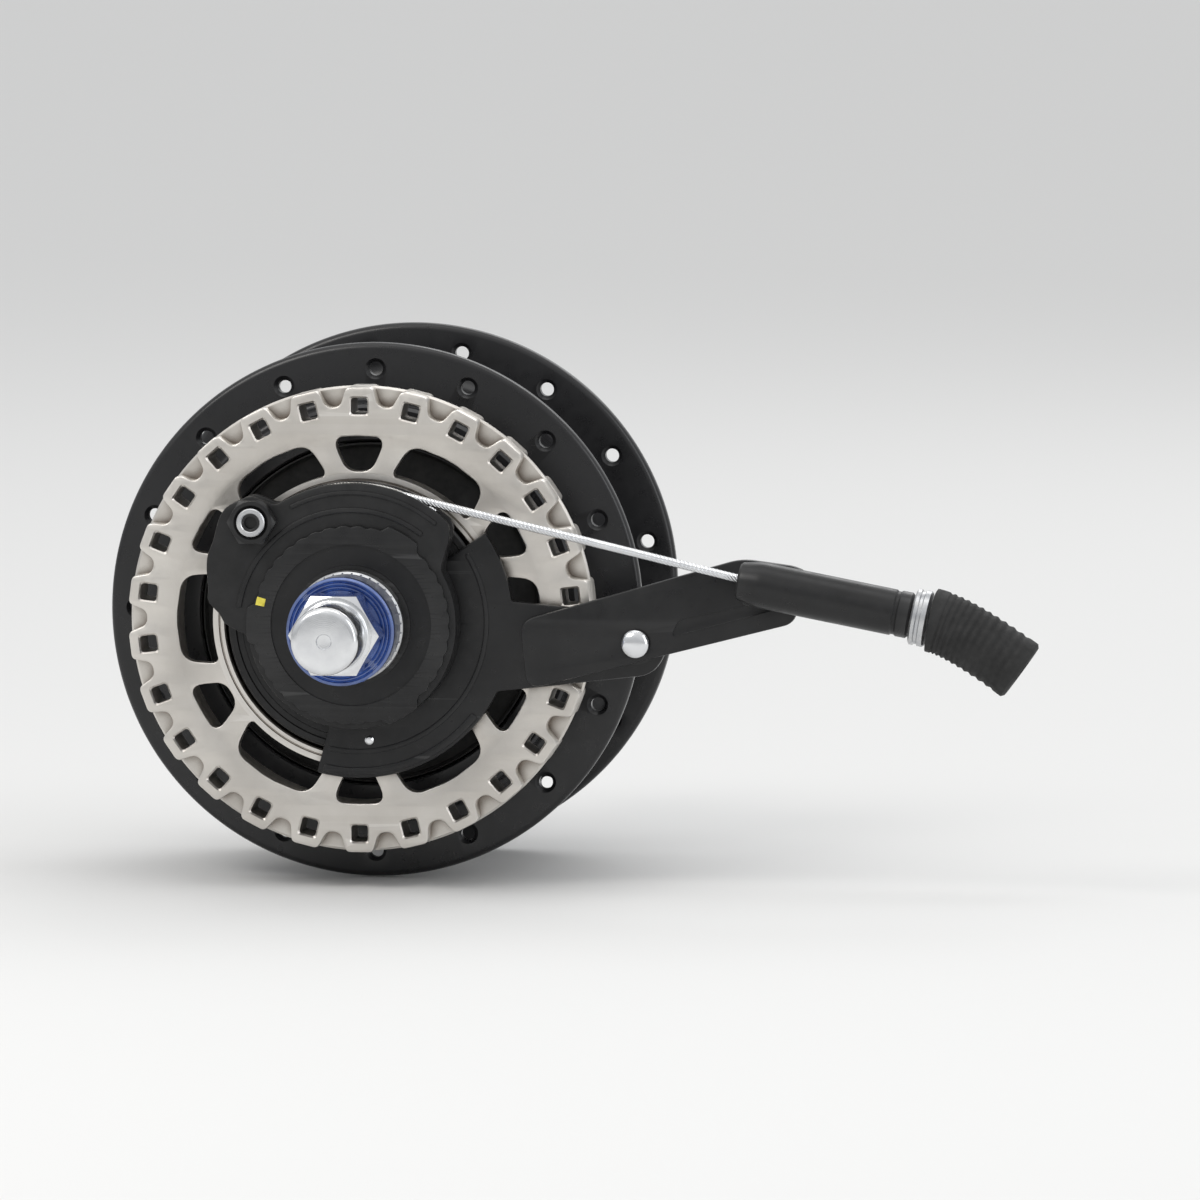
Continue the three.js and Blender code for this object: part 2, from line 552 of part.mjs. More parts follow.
// The sprocket is dished: the arms lie flush with the rim's outer face, and a short wall leads in
// to the web that sits on the driver.
const spiderHoles = [circle(SPROCKET_WALL_INNER, LARGE_SIDES)];
for (let i = 0; i < SPROCKET_ARMS; i += 1) {
  spiderHoles.push(armWindow(i * 360 / SPROCKET_ARMS));
  spiderHoles.push(armHole((i + 0.5) * 360 / SPROCKET_ARMS));
}
const armFace = [beltLow, beltLow + SPROCKET_ARM_THICKNESS];
const spider = plate(circle(SPROCKET_RIM_RADIUS + 0.6, LARGE_SIDES), ...armFace, spiderHoles);
const wall = turned([
  [SPROCKET_WALL_INNER, beltLow], [ARM_ROOT_RADIUS, beltLow], [ARM_ROOT_RADIUS, SPROCKET_WEB_Y[1]],
  [DRIVER_RADIUS + GAP, SPROCKET_WEB_Y[1]], [DRIVER_RADIUS + GAP, SPROCKET_WEB_Y[0]],
  [SPROCKET_WALL_INNER, SPROCKET_WEB_Y[0]],
], LARGE_SIDES);
const portHalf = MUD_PORT_SIZE / 2;
const port = plate([
  [MUD_PORT_RADIUS - portHalf, -portHalf], [MUD_PORT_RADIUS + portHalf, -portHalf],
  [MUD_PORT_RADIUS + portHalf, portHalf], [MUD_PORT_RADIUS - portHalf, portHalf],
], beltLow - 1, beltHigh + 1);
const sprocket = cut(joined(toothedRim, fin, spider, wall), ...aroundAxle(port, SPROCKET_TEETH, FIRST_TOOTH_ANGLE));
add('belt_sprocket', sprocket, BLASTED_STEEL);

// ---------------------------------------------------------------- cassette joint: bracket and cable holder

const BRACKET_Y = [-54, -52];
const BRACKET_SMALL_RADIUS = 21;
const BRACKET_LARGE_RADIUS = 30;
const bracketOutline = [
  ...arc(BRACKET_SMALL_RADIUS, 35, 255, 22), ...arc(BRACKET_LARGE_RADIUS, 255, 334, 8),
  [57, -9.6], [60, -4], [57.4, 1.6], ...arc(BRACKET_LARGE_RADIUS, 8, 35, 3),
];
const RIVET_CENTRE = [53.7, -3.5];
const RIVET_RADIUS = 1.5;
const rivetHole = circle(RIVET_RADIUS + GAP, 10, RIVET_CENTRE);
const bracketBore = circle(RIGHT_CONE_RADIUS + GAP, SIDES);
add('joint_bracket', plate(bracketOutline, ...BRACKET_Y, [bracketBore, rivetHole]), BLACK_STEEL);

const ARM_Y = [-56, -54.3];
const armOutline = [
  [33, -12.5], [55.4, -6.7], [84.1, 0.65], [86.4, 10.6], [84, 11.6], [74, 12.9], [43.3, 4], [31.5, 0.6],
];
add('bracket_arm', plate(armOutline, ...ARM_Y, [rivetHole]), BLACK_STEEL);
add('arm_rivet', joined(
  pin(RIVET_RADIUS, -57.2, -50.6, RIVET_CENTRE, 12),
  pin(2.75, -57.5, ARM_Y[0] - GAP, RIVET_CENTRE, 16),
  pin(2.5, -51.7, -50.3, RIVET_CENTRE, 16),
), CHROME);

const PULLEY_Y = [-61.2, -54.3];
const PULLEY_GROOVE_Y = [-59.9, -55.9];
const WRAP_Y = -56.9;               // the end that is clamped to the pulley lies beside the run to the holder
const RUN_Y = -58.9;
const HOLDER_Y = -60.8;
const HOLDER_RADIUS = 4.4;
const HOLDER_SLOPE = -0.194;        // the holder and the cable run down towards the front
const FERRULE_RADIUS = 5.4;
const BELLOW_RADIUS = 6.1;
const holderPoint = (x) => [x, HOLDER_Y, 9.2 + (x - 74) * HOLDER_SLOPE];
const holderBore = rod(1.4, holderPoint(70), holderPoint(111), 10);
const holderFoot = plate([[74.4, 4.2], [85.4, 2.6], [86.3, 9.6], [75.2, 11.6]], -58.4, ARM_Y[0] - GAP);
const holderTube = rod(HOLDER_RADIUS, holderPoint(74), holderPoint(107), 16);
add('casing_holder', cut(joined(holderTube, holderFoot), holderBore), BLACK_STEEL);
const ferrule = rod(FERRULE_RADIUS, holderPoint(107.3), holderPoint(110.3), 16);
add('casing_ferrule', cut(ferrule, holderBore), ZINC);

// The bellow starts in line with the holder and bends down; the outer casing would enter its open mouth.
const bellowPath = new THREE.QuadraticBezierCurve3(
  new THREE.Vector3(...holderPoint(110.7)),
  new THREE.Vector3(...holderPoint(116)),
  new THREE.Vector3(128, HOLDER_Y, -7.6),
);
const bellowTube = rodAlong(bellowPath, BELLOW_RADIUS, 6, 14);
const bellowMouth = rod(2.6, [122.1, HOLDER_Y, -2.9], [130.9, HOLDER_Y, -9.8], 10);
add('cable_bellow', cut(bellowTube, bellowMouth), BLACK_RUBBER);

// ---------------------------------------------------------------- cassette joint: pulley, clamp and cable

// The pulley's flange follows the cable groove and then swells into the hook that carries the clamp.
// Each key is an angle in degrees and the radius there.
const FLANGE_KEYS = [
  [-160, PULLEY_SMALL_RADIUS], [30, PULLEY_SMALL_RADIUS], [48, 27], [122, 27], [130, 31.6], [138, 32.8],
  [152, 30.8], [170, 28.2], [178, 25], [188, PULLEY_SMALL_RADIUS], [200, PULLEY_SMALL_RADIUS],
];
function keyedRadius(angle, keys) {
  const next = keys.findIndex(([keyAngle]) => keyAngle >= angle);
  if (next <= 0) return keys[0][1];
  const [a0, r0] = keys[next - 1];
  const [a1, r1] = keys[next];
  return r0 + (r1 - r0) * (angle - a0) / (a1 - a0);
}
function pulleyOutline(keys) {
  const points = [];
  for (let angle = -160; angle < 200; angle += 12) points.push(polar(keyedRadius(angle, keys), angle));
  return points;
}
const GROOVE_KEYS = [
  [-160, PULLEY_SMALL_RADIUS], [30, PULLEY_SMALL_RADIUS], [44, PULLEY_GROOVE_RADIUS],
  [150, PULLEY_GROOVE_RADIUS], [164, PULLEY_SMALL_RADIUS], [200, PULLEY_SMALL_RADIUS],
];
const pulleyBore = circle(SLEEVE_OUTER + GAP, SIDES);
const clampCentre = polar(CLAMP_RADIUS, CLAMP_ANGLE);
const pulleyBlank = joined(
  plate(pulleyOutline(FLANGE_KEYS), PULLEY_GROOVE_Y[1], PULLEY_Y[1], [pulleyBore]),
  plate(pulleyOutline(GROOVE_KEYS), PULLEY_GROOVE_Y[0] - 0.1, PULLEY_GROOVE_Y[1] + 0.1, [pulleyBore]),
  plate(pulleyOutline(FLANGE_KEYS), PULLEY_Y[0], PULLEY_GROOVE_Y[0], [pulleyBore]),
);
const clampHole = pin(CLAMP_BOLT_RADIUS + GAP, -64, -50, clampCentre, 12);
add('shift_pulley', cut(pulleyBlank, clampHole), BLACK_PLASTIC);
add('cable_clamp_bolt', joined(
  pin(CLAMP_BOLT_RADIUS, -65, -53.5, clampCentre, 12),
  pin(3.6, -54, -53, clampCentre, 12),
), BLACK_STEEL);
const clampNutHole = circle(CLAMP_BOLT_RADIUS + GAP, 12, clampCentre);
add('cable_clamp_nut', plate(circle(4.7, 6, clampCentre), -64.6, -61.5, [clampNutHole]), BLACK_STEEL);
add('control_sleeve', ring(THREAD_BORE, SLEEVE_OUTER, -61, 18), ZINC);

const FIXING_RING_Y = [-62.5, -61.5];
const fixingTab = plate([[17, -3.4], [20.2, -3], [20.2, 3], [17, 3.4]], ...FIXING_RING_Y);
const fixingRing = plate(circle(19, SIDES), ...FIXING_RING_Y, [circle(THREAD_BORE, SIDES)]);
add('joint_fixing_ring', joined(fixingRing, ...aroundAxle(fixingTab, 3, 60)), BLACK_STEEL);

// The clamped end of the inner cable, wound in the groove; it turns with the pulley.
const CABLE_CENTRE_RADIUS = PULLEY_GROOVE_RADIUS + GAP + CABLE_RADIUS;
const WRAP_FROM = 54;
const WRAP_TO = 126;
const wrapCurve = new THREE.CatmullRomCurve3(
  arc(CABLE_CENTRE_RADIUS, WRAP_FROM, WRAP_TO, 12).map(([x, z]) => new THREE.Vector3(x, WRAP_Y, z)),
);
add('cable_wrap', rodAlong(wrapCurve, CABLE_RADIUS, 12, 8), CHROME);

// The straight run of the inner cable, from where it leaves the pulley into the casing holder.
const [runX, runZ] = polar(CABLE_CENTRE_RADIUS, CABLE_TANGENT_ANGLE);
add('inner_cable', rod(CABLE_RADIUS, [runX, RUN_Y, runZ], holderPoint(82), 8), CHROME);

export default group;
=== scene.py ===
import json
import math

import bmesh
import bpy
from mathutils import Matrix, Vector


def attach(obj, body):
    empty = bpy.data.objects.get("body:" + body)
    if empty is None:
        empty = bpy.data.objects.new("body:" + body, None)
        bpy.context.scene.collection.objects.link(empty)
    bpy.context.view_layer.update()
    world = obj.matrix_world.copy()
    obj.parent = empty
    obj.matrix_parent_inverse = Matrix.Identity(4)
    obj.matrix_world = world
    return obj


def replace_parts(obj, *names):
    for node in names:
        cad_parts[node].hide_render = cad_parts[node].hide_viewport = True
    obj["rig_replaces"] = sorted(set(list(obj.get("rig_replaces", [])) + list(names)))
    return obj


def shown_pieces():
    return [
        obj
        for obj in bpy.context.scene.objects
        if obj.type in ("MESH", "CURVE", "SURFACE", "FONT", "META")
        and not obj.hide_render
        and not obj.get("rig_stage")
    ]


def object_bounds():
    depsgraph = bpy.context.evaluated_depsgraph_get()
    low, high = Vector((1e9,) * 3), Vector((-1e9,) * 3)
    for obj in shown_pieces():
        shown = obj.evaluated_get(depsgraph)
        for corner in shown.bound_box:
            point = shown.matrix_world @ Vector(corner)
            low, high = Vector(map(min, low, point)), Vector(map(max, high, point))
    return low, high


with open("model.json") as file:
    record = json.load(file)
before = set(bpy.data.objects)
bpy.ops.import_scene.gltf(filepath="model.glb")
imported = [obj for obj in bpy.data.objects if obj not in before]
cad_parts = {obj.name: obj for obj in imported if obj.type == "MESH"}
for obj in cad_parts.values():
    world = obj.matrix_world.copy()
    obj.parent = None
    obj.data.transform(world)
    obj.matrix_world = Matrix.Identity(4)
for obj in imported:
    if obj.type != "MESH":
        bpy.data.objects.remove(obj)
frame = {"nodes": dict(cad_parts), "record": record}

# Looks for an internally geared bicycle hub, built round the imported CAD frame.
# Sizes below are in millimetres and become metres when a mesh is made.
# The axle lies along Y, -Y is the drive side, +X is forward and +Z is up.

CAD_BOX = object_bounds()
MM = 0.001

# ---------------------------------------------------------------- driving sizes

# axle and everything threaded on it; GAP is the clearance between neighbours
GAP = 0.3
DROPOUT_FACE = 67.5
DROPOUT_THICKNESS = 7.0
AXLE_RADIUS = 4.9
AXLE_FLAT = 4.2
AXLE_END = 93.5
THREAD_START = 60.0
THREAD_PITCH = 1.0
THREAD_DEPTH = 0.45
BORE = AXLE_RADIUS + GAP
WASHER_INNER = DROPOUT_FACE + DROPOUT_THICKNESS + GAP
WASHER_THICKNESS = 2.6
WASHER_RADIUS = 10.3
WASHER_GROOVES = (9.5, 8.8, 8.1)
NUT_FOOT = WASHER_INNER + WASHER_THICKNESS + GAP
NUT_HEX_HEIGHT = 9.0
NUT_HEX_RADIUS = 8.66
DOME_RADIUS = 6.45
DOME_HEIGHT = 12.4
RIGHT_LOCK_NUT_INNER = 62.8
LEFT_LOCK_NUT_INNER = 61.2
LOCK_NUT_TEETH = 36

# hub shell
FLANGE_RADIUS = 51.5
FLANGE_THICKNESS = 3.4
LEFT_FLANGE = 31.0
RIGHT_FLANGE = -26.0
SPOKE_CIRCLE = 46.5
SPOKES = 16
SPOKE_HOLE = 1.35
BARREL = 38.5
BARREL_LINE = 38.2
SHELL_BORE = 33.0
ROTOR_SEAT = 37.0
ROTOR_SPLINE = 16.9
ROTOR_SPLINES = 40
ROTOR_SPLINE_DEPTH = 0.9

# belt sprocket
TEETH = 26
FIRST_TOOTH = 270.0
BELT_PITCH = 11.0
BELT_LINE = -46.0
SPROCKET_Y = (-51.0, -41.0)
TIP_RADIUS = TEETH * BELT_PITCH / (2 * math.pi) - 0.9
FLOOR_RADIUS = 41.0
FIN_WIDTH = 1.5
MUD_PORT = 3.2
MUD_PORT_RADIUS = 40.95
RIM_RADIUS = 35.2
ARMS = 6
ARM_ROOT = 28.2
ARM_THICKNESS = 3.0
ARM_HALF_WIDTH_OUTER = 10.0
ARM_HALF_WIDTH_INNER = 6.0
ARM_HOLE_CORNERS = ((35.2, -5.4, 3.3), (35.2, 5.4, 3.3), (28.5, 2.4, 2.1), (28.5, -2.4, 2.1))
WINDOW_CORNER = 3.0
WINDOW_INNER_CORNER = 1.9
CORNER_ROOM = 2.25
WALL_INNER = 25.8
WEB_LOW = -47.4
WEB_HIGH = -44.4

# bracket, arm and cable holder
BRACKET_SMALL = 21.0
BRACKET_LARGE = 30.0
BRACKET_Y = (-54.0, -52.0)
ARM_Y = (-56.0, -54.3)
RIVET = (53.7, -3.5)
LOCATING_PIN_RADIUS = 22.8
LOCATING_PIN_ANGLE = -84.0
HOLDER_Y = -60.8
HOLDER_SLOPE = -0.194
HOLDER_RADIUS = 4.4
FERRULE_RADIUS = 5.4
BELLOW_RADIUS = 6.1
BELLOW_FOLDS = 11
BELLOW_FOLD_DEPTH = 0.28

# shift pulley, clamp and cable; the keys are (angle, radius) round the pulley
SLEEVE_OUTER = 6.6
PULLEY_Y = (-61.2, -54.3)
GROOVE_Y = (-59.9, -55.9)
PULLEY_SMALL = 20.0
GROOVE_RADIUS = 25.0
FLANGE_KEYS = [
    (-160, PULLEY_SMALL), (30, PULLEY_SMALL), (48, 27), (122, 27), (130, 31.6), (138, 32.8),
    (152, 30.8), (170, 28.2), (178, 25), (188, PULLEY_SMALL), (200, PULLEY_SMALL),
]
GROOVE_KEYS = [
    (-160, PULLEY_SMALL), (30, PULLEY_SMALL), (44, GROOVE_RADIUS),
    (150, GROOVE_RADIUS), (164, PULLEY_SMALL), (200, PULLEY_SMALL),
]
CLAMP_ANGLE = 134.0
CLAMP_RADIUS = 27.2
FIXING_Y = (-62.5, -61.5)
CABLE_RADIUS = 0.8
CABLE_CENTRE = GROOVE_RADIUS + GAP + CABLE_RADIUS
CABLE_TANGENT = 78.0
LEAD_START = 98.0
LEAD_STEPS = 35
WRAP_Y = -56.9
RUN_Y = -58.9


# ---------------------------------------------------------------- camera, floor and lights

LENS = 480
CAMERA_AZIMUTH = 7.1
CAMERA_ELEVATION = 4.85
CAMERA_DISTANCE = 3.1
FLOOR_REACH = 200.0
CENTRE = (CAD_BOX[0] + CAD_BOX[1]) / 2
FLOOR_HEIGHT = CAD_BOX[0].z - 0.0002


def direction(azimuth, elevation):
    """The way from the object towards a viewer; azimuth 0 is the drive side and 90 the front."""
    a, e = math.radians(azimuth), math.radians(elevation)
    return Vector((math.sin(a) * math.cos(e), -math.cos(a) * math.cos(e), math.sin(e)))


def aim(thing, azimuth, elevation, distance):
    back = direction(azimuth, elevation)
    thing.location = CENTRE + back * distance
    thing.rotation_mode = "QUATERNION"
    thing.rotation_quaternion = (-back).to_track_quat("-Z", "Y")
    bpy.context.collection.objects.link(thing)


camera_data = bpy.data.cameras.new("camera")
camera_data.lens = LENS
camera_data.sensor_width = 36
camera_data.clip_start = 0.1
camera = bpy.data.objects.new("camera", camera_data)
aim(camera, CAMERA_AZIMUTH, CAMERA_ELEVATION, CAMERA_DISTANCE)
bpy.context.scene.camera = camera


def softbox(name, azimuth, elevation, distance, width, height, power, tint=(1.0, 1.0, 1.0)):
    data = bpy.data.lights.new(name, "AREA")
    data.shape = "RECTANGLE"
    data.size = width
    data.size_y = height
    data.energy = power
    data.color = tint
    aim(bpy.data.objects.new(name, data), azimuth, elevation, distance)


softbox("key", -38, 40, 1.2, 0.6, 0.45, 4.2, (1.0, 0.98, 0.95))
softbox("fill", 60, 20, 1.2, 0.4, 0.9, 2.6, (0.96, 0.98, 1.0))
softbox("top", 10, 80, 1.1, 0.8, 0.5, 1.3)
softbox("back", 165, 38, 1.3, 0.8, 0.5, 2.4)


def make_world():
    """A soft studio, pale overhead and darker at the horizon, for bright metal to reflect."""
    world = bpy.data.worlds.new("studio")
    world.use_nodes = True
    tree = world.node_tree
    place = tree.nodes.new("ShaderNodeTexCoord")
    split = tree.nodes.new("ShaderNodeSeparateXYZ")
    ramp = tree.nodes.new("ShaderNodeValToRGB")
    tree.links.new(place.outputs["Generated"], split.inputs[0])
    tree.links.new(split.outputs["Z"], ramp.inputs["Fac"])
    tree.links.new(ramp.outputs["Color"], tree.nodes["Background"].inputs["Color"])
    stops = ramp.color_ramp.elements
    stops[0].position, stops[0].color = 0.0, (0.50, 0.505, 0.51, 1)
    stops[1].position, stops[1].color = 0.35, (0.70, 0.71, 0.72, 1)
    overhead = stops.new(0.85)
    overhead.color = (0.90, 0.90, 0.90, 1)
    return world


def make_floor():
    """A pale sweep of matt card under the hub."""
    mesh = bpy.data.meshes.new("floor")
    corners = [(-1, -1), (1, -1), (1, 1), (-1, 1)]
    points = [(x * FLOOR_REACH, y * FLOOR_REACH, FLOOR_HEIGHT) for x, y in corners]
    mesh.from_pydata(points, [], [(0, 1, 2, 3)])
    floor = bpy.data.objects.new("floor", mesh)
    bpy.context.collection.objects.link(floor)
    material = bpy.data.materials.new("card")
    material.use_nodes = True
    nodes = material.node_tree.nodes
    links = material.node_tree.links
    place = nodes.new("ShaderNodeTexCoord")
    fibre = nodes.new("ShaderNodeTexNoise")
    fibre.inputs["Scale"].default_value = 900.0
    bump = nodes.new("ShaderNodeBump")
    bump.inputs["Strength"].default_value = 0.05
    bump.inputs["Distance"].default_value = 0.0001
    links.new(place.outputs["Object"], fibre.inputs["Vector"])
    links.new(fibre.outputs["Fac"], bump.inputs["Height"])
    links.new(bump.outputs["Normal"], nodes["Principled BSDF"].inputs["Normal"])
    nodes["Principled BSDF"].inputs["Base Color"].default_value = (0.74, 0.74, 0.735, 1)
    nodes["Principled BSDF"].inputs["Roughness"].default_value = 0.75
    mesh.materials.append(material)
    floor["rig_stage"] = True


bpy.context.scene.world = make_world()
make_floor()
bpy.context.scene.view_settings.view_transform = "Standard"


# ---------------------------------------------------------------- geometry helpers

def polar(radius, degrees):
    """A point (x, z) at a distance and an angle, counted from +X towards +Z."""
    angle = math.radians(degrees)
    return radius * math.cos(angle), radius * math.sin(angle)


def arc(radius, start, stop, steps, centre=(0.0, 0.0)):
    points = []
    for i in range(steps + 1):
        x, z = polar(radius, start + (stop - start) * i / steps)
        points.append((x + centre[0], z + centre[1]))
    return points


def circle(radius, count=48, centre=(0.0, 0.0)):
    return arc(radius, 0.0, 360 * (count - 1) / count, count - 1, centre)


def rounded(points, radius, steps=3):
    """A closed outline with each corner replaced by a short curve."""
    result = []
    count = len(points)
    for i, corner in enumerate(points):
        here = Vector(corner[:2])
        to_last = Vector(points[i - 1][:2]) - here
        to_next = Vector(points[(i + 1) % count][:2]) - here
        wanted = corner[2] if len(corner) > 2 else radius
        reach = min(wanted, 0.45 * to_last.length, 0.45 * to_next.length)
        if reach < 1e-4:
            result.append(tuple(here))
            continue
        start = here + to_last.normalized() * reach
        stop = here + to_next.normalized() * reach
        for k in range(steps + 1):
            t = k / steps
            point = start * (1 - t) ** 2 + here * (2 * t * (1 - t)) + stop * t ** 2
            result.append(tuple(point))
    return result


def finish_mesh(mesh, name, sharp=34.0):
    """Makes an object of a mesh, with doubled points joined and edges over an angle kept sharp."""
    work = bmesh.new()
    work.from_mesh(mesh)
    bmesh.ops.remove_doubles(work, verts=work.verts, dist=2e-6)
    bmesh.ops.dissolve_degenerate(work, edges=work.edges, dist=1e-6)
    bmesh.ops.recalc_face_normals(work, faces=work.faces)
    work.to_mesh(mesh)
    work.free()
    mesh.polygons.foreach_set("use_smooth", [True] * len(mesh.polygons))
    mesh.set_sharp_from_angle(angle=math.radians(sharp))
    mesh.name = name
    thing = bpy.data.objects.new(name, mesh)
    bpy.context.collection.objects.link(thing)
    return thing


def from_points(name, points, faces, sharp=34.0):
    mesh = bpy.data.meshes.new(name)
    mesh.from_pydata([(x * MM, y * MM, z * MM) for x, y, z in points], [], faces)
    return finish_mesh(mesh, name, sharp)


def lathe(name, profile, segments=160, shape=None, sharp=34.0):
    """A closed profile of (radius, y) points turned about the axle.

    shape(radius, y, degrees) may change a radius.
    """
    points = []
    faces = []
    count = len(profile)
    for i in range(segments):
        degrees = 360 * i / segments
        for radius, y in profile:
            r = shape(radius, y, degrees) if shape else radius
            x, z = polar(r, degrees)
            points.append((x, y, z))
    for i in range(segments):
        j = (i + 1) % segments
        for k in range(count):
            m = (k + 1) % count
            on_axis = profile[k][0] < 1e-6 and profile[m][0] < 1e-6
            if not on_axis:
                faces.append((i * count + k, i * count + m, j * count + m, j * count + k))
    return from_points(name, points, faces, sharp)


def plate(name, outline, low, high, holes=(), bevel=0.25, sharp=34.0):
    """A flat piece between two y planes, with (x, z) outlines and rounded edges."""
    curve = bpy.data.curves.new(name, "CURVE")
    curve.dimensions = "2D"
    curve.fill_mode = "BOTH"
    curve.extrude = (high - low) / 2 * MM - bevel * MM
    curve.bevel_depth = bevel * MM
    curve.bevel_resolution = 1
    curve.offset = -bevel * MM
    for loop in (outline, *holes):
        spline = curve.splines.new("POLY")
        spline.points.add(len(loop) - 1)
        for point, (x, z) in zip(spline.points, loop):
            point.co = (x * MM, z * MM, 0, 1)
        spline.use_cyclic_u = True
    holder = bpy.data.objects.new(name + "_outline", curve)
    bpy.context.collection.objects.link(holder)
    mesh = bpy.data.meshes.new_from_object(holder.evaluated_get(bpy.context.evaluated_depsgraph_get()))
    bpy.data.objects.remove(holder)
    bpy.data.curves.remove(curve)
    mesh.transform(Matrix.Rotation(math.pi / 2, 4, "X"))
    mesh.transform(Matrix.Translation((0, (low + high) / 2 * MM, 0)))
    return finish_mesh(mesh, name, sharp)


def sweep(name, path, section, sharp=34.0):
    """A closed section carried along a path of points. section(i) gives the (u, v) points at path point i."""
    route = [Vector(p) for p in path]
    tangents = []
    for i in range(len(route)):
        ahead = route[min(i + 1, len(route) - 1)]
        behind = route[max(i - 1, 0)]
        tangents.append((ahead - behind).normalized())
    side = tangents[0].orthogonal().normalized()
    loops = []
    for i, (here, tangent) in enumerate(zip(route, tangents)):
        side = (side - tangent * side.dot(tangent)).normalized()
        up = tangent.cross(side)
        loops.append([tuple(here + side * u + up * v) for u, v in section(i)])
    return loft(name, loops, sharp)


def loft(name, loops, sharp=34.0):
    """A closed body through loops of points, each with as many points as the next."""
    count = len(loops[0])
    points = [point for loop in loops for point in loop]
    faces = []
    for i in range(len(loops) - 1):
        for k in range(count):
            m = (k + 1) % count
            faces.append((i * count + k, i * count + m, (i + 1) * count + m, (i + 1) * count + k))
    faces.append(tuple(reversed(range(count))))
    last = (len(loops) - 1) * count
    faces.append(tuple(last + k for k in range(count)))
    return from_points(name, points, faces, sharp)


def combine(name, operation, first, *others, sharp=34.0):
    """Joins or cuts solids with exact booleans and returns one clean object."""
    for other in others:
        step = first.modifiers.new("step", "BOOLEAN")
        step.operation = operation
        step.solver = "EXACT"
        step.object = other
    bpy.context.view_layer.update()
    mesh = bpy.data.meshes.new_from_object(first.evaluated_get(bpy.context.evaluated_depsgraph_get()))
    for thing in (first, *others):
        bpy.data.objects.remove(thing)
    return finish_mesh(mesh, name, sharp)


def merged(name, *things, sharp=34.0):
    """Several closed meshes in one object, for the like pieces of one part."""
    work = bmesh.new()
    for thing in things:
        work.from_mesh(thing.data)
    mesh = bpy.data.meshes.new(name)
    work.to_mesh(mesh)
    work.free()
    for thing in things:
        bpy.data.objects.remove(thing)
    return finish_mesh(mesh, name, sharp)


def turned_copy(thing, degrees):
    """A copy of a piece turned about the axle, the positive way from +X towards +Z."""
    copy = bpy.data.objects.new(thing.name + "_copy", thing.data.copy())
    copy.data.transform(Matrix.Rotation(-math.radians(degrees), 4, "Y"))
    bpy.context.collection.objects.link(copy)
    return copy


def around(thing, count, turn=0.0):
    copies = [turned_copy(thing, turn + 360 * i / count) for i in range(count)]
    bpy.data.objects.remove(thing)
    return copies


def mirrored(profile, side):
    """side is -1 for the drive side and +1 for the left; y counts outboard."""
    return [(radius, side * y) for radius, y in profile]


def moved(thing, x=0.0, y=0.0, z=0.0):
    thing.data.transform(Matrix.Translation((x * MM, y * MM, z * MM)))
    return thing


def bend(centre, radius, start, stop, steps=5):
    """Points (radius, y) of a rounded corner in a turned profile; 0 degrees is outwards and 90 towards +y."""
    return arc(radius, start, stop, steps, centre)


def lathe_at(name, profile, centre, segments=48, sharp=34.0):
    """A turned piece with its axis along Y through a point (x, z)."""
    return moved(lathe(name, profile, segments, sharp=sharp), x=centre[0], z=centre[1])


def raised_band(name, inner, outer, start, stop, low, high, bevel=0.2):
    """A flat arc-shaped rib about the axle, with round ends."""
    steps = max(8, round(abs(stop - start) / 3))
    outline = arc(outer, start, stop, steps) + arc(inner, stop, start, steps)
    return plate(name, rounded(outline, 0.4), low, high, bevel=bevel)


# ---------------------------------------------------------------- materials

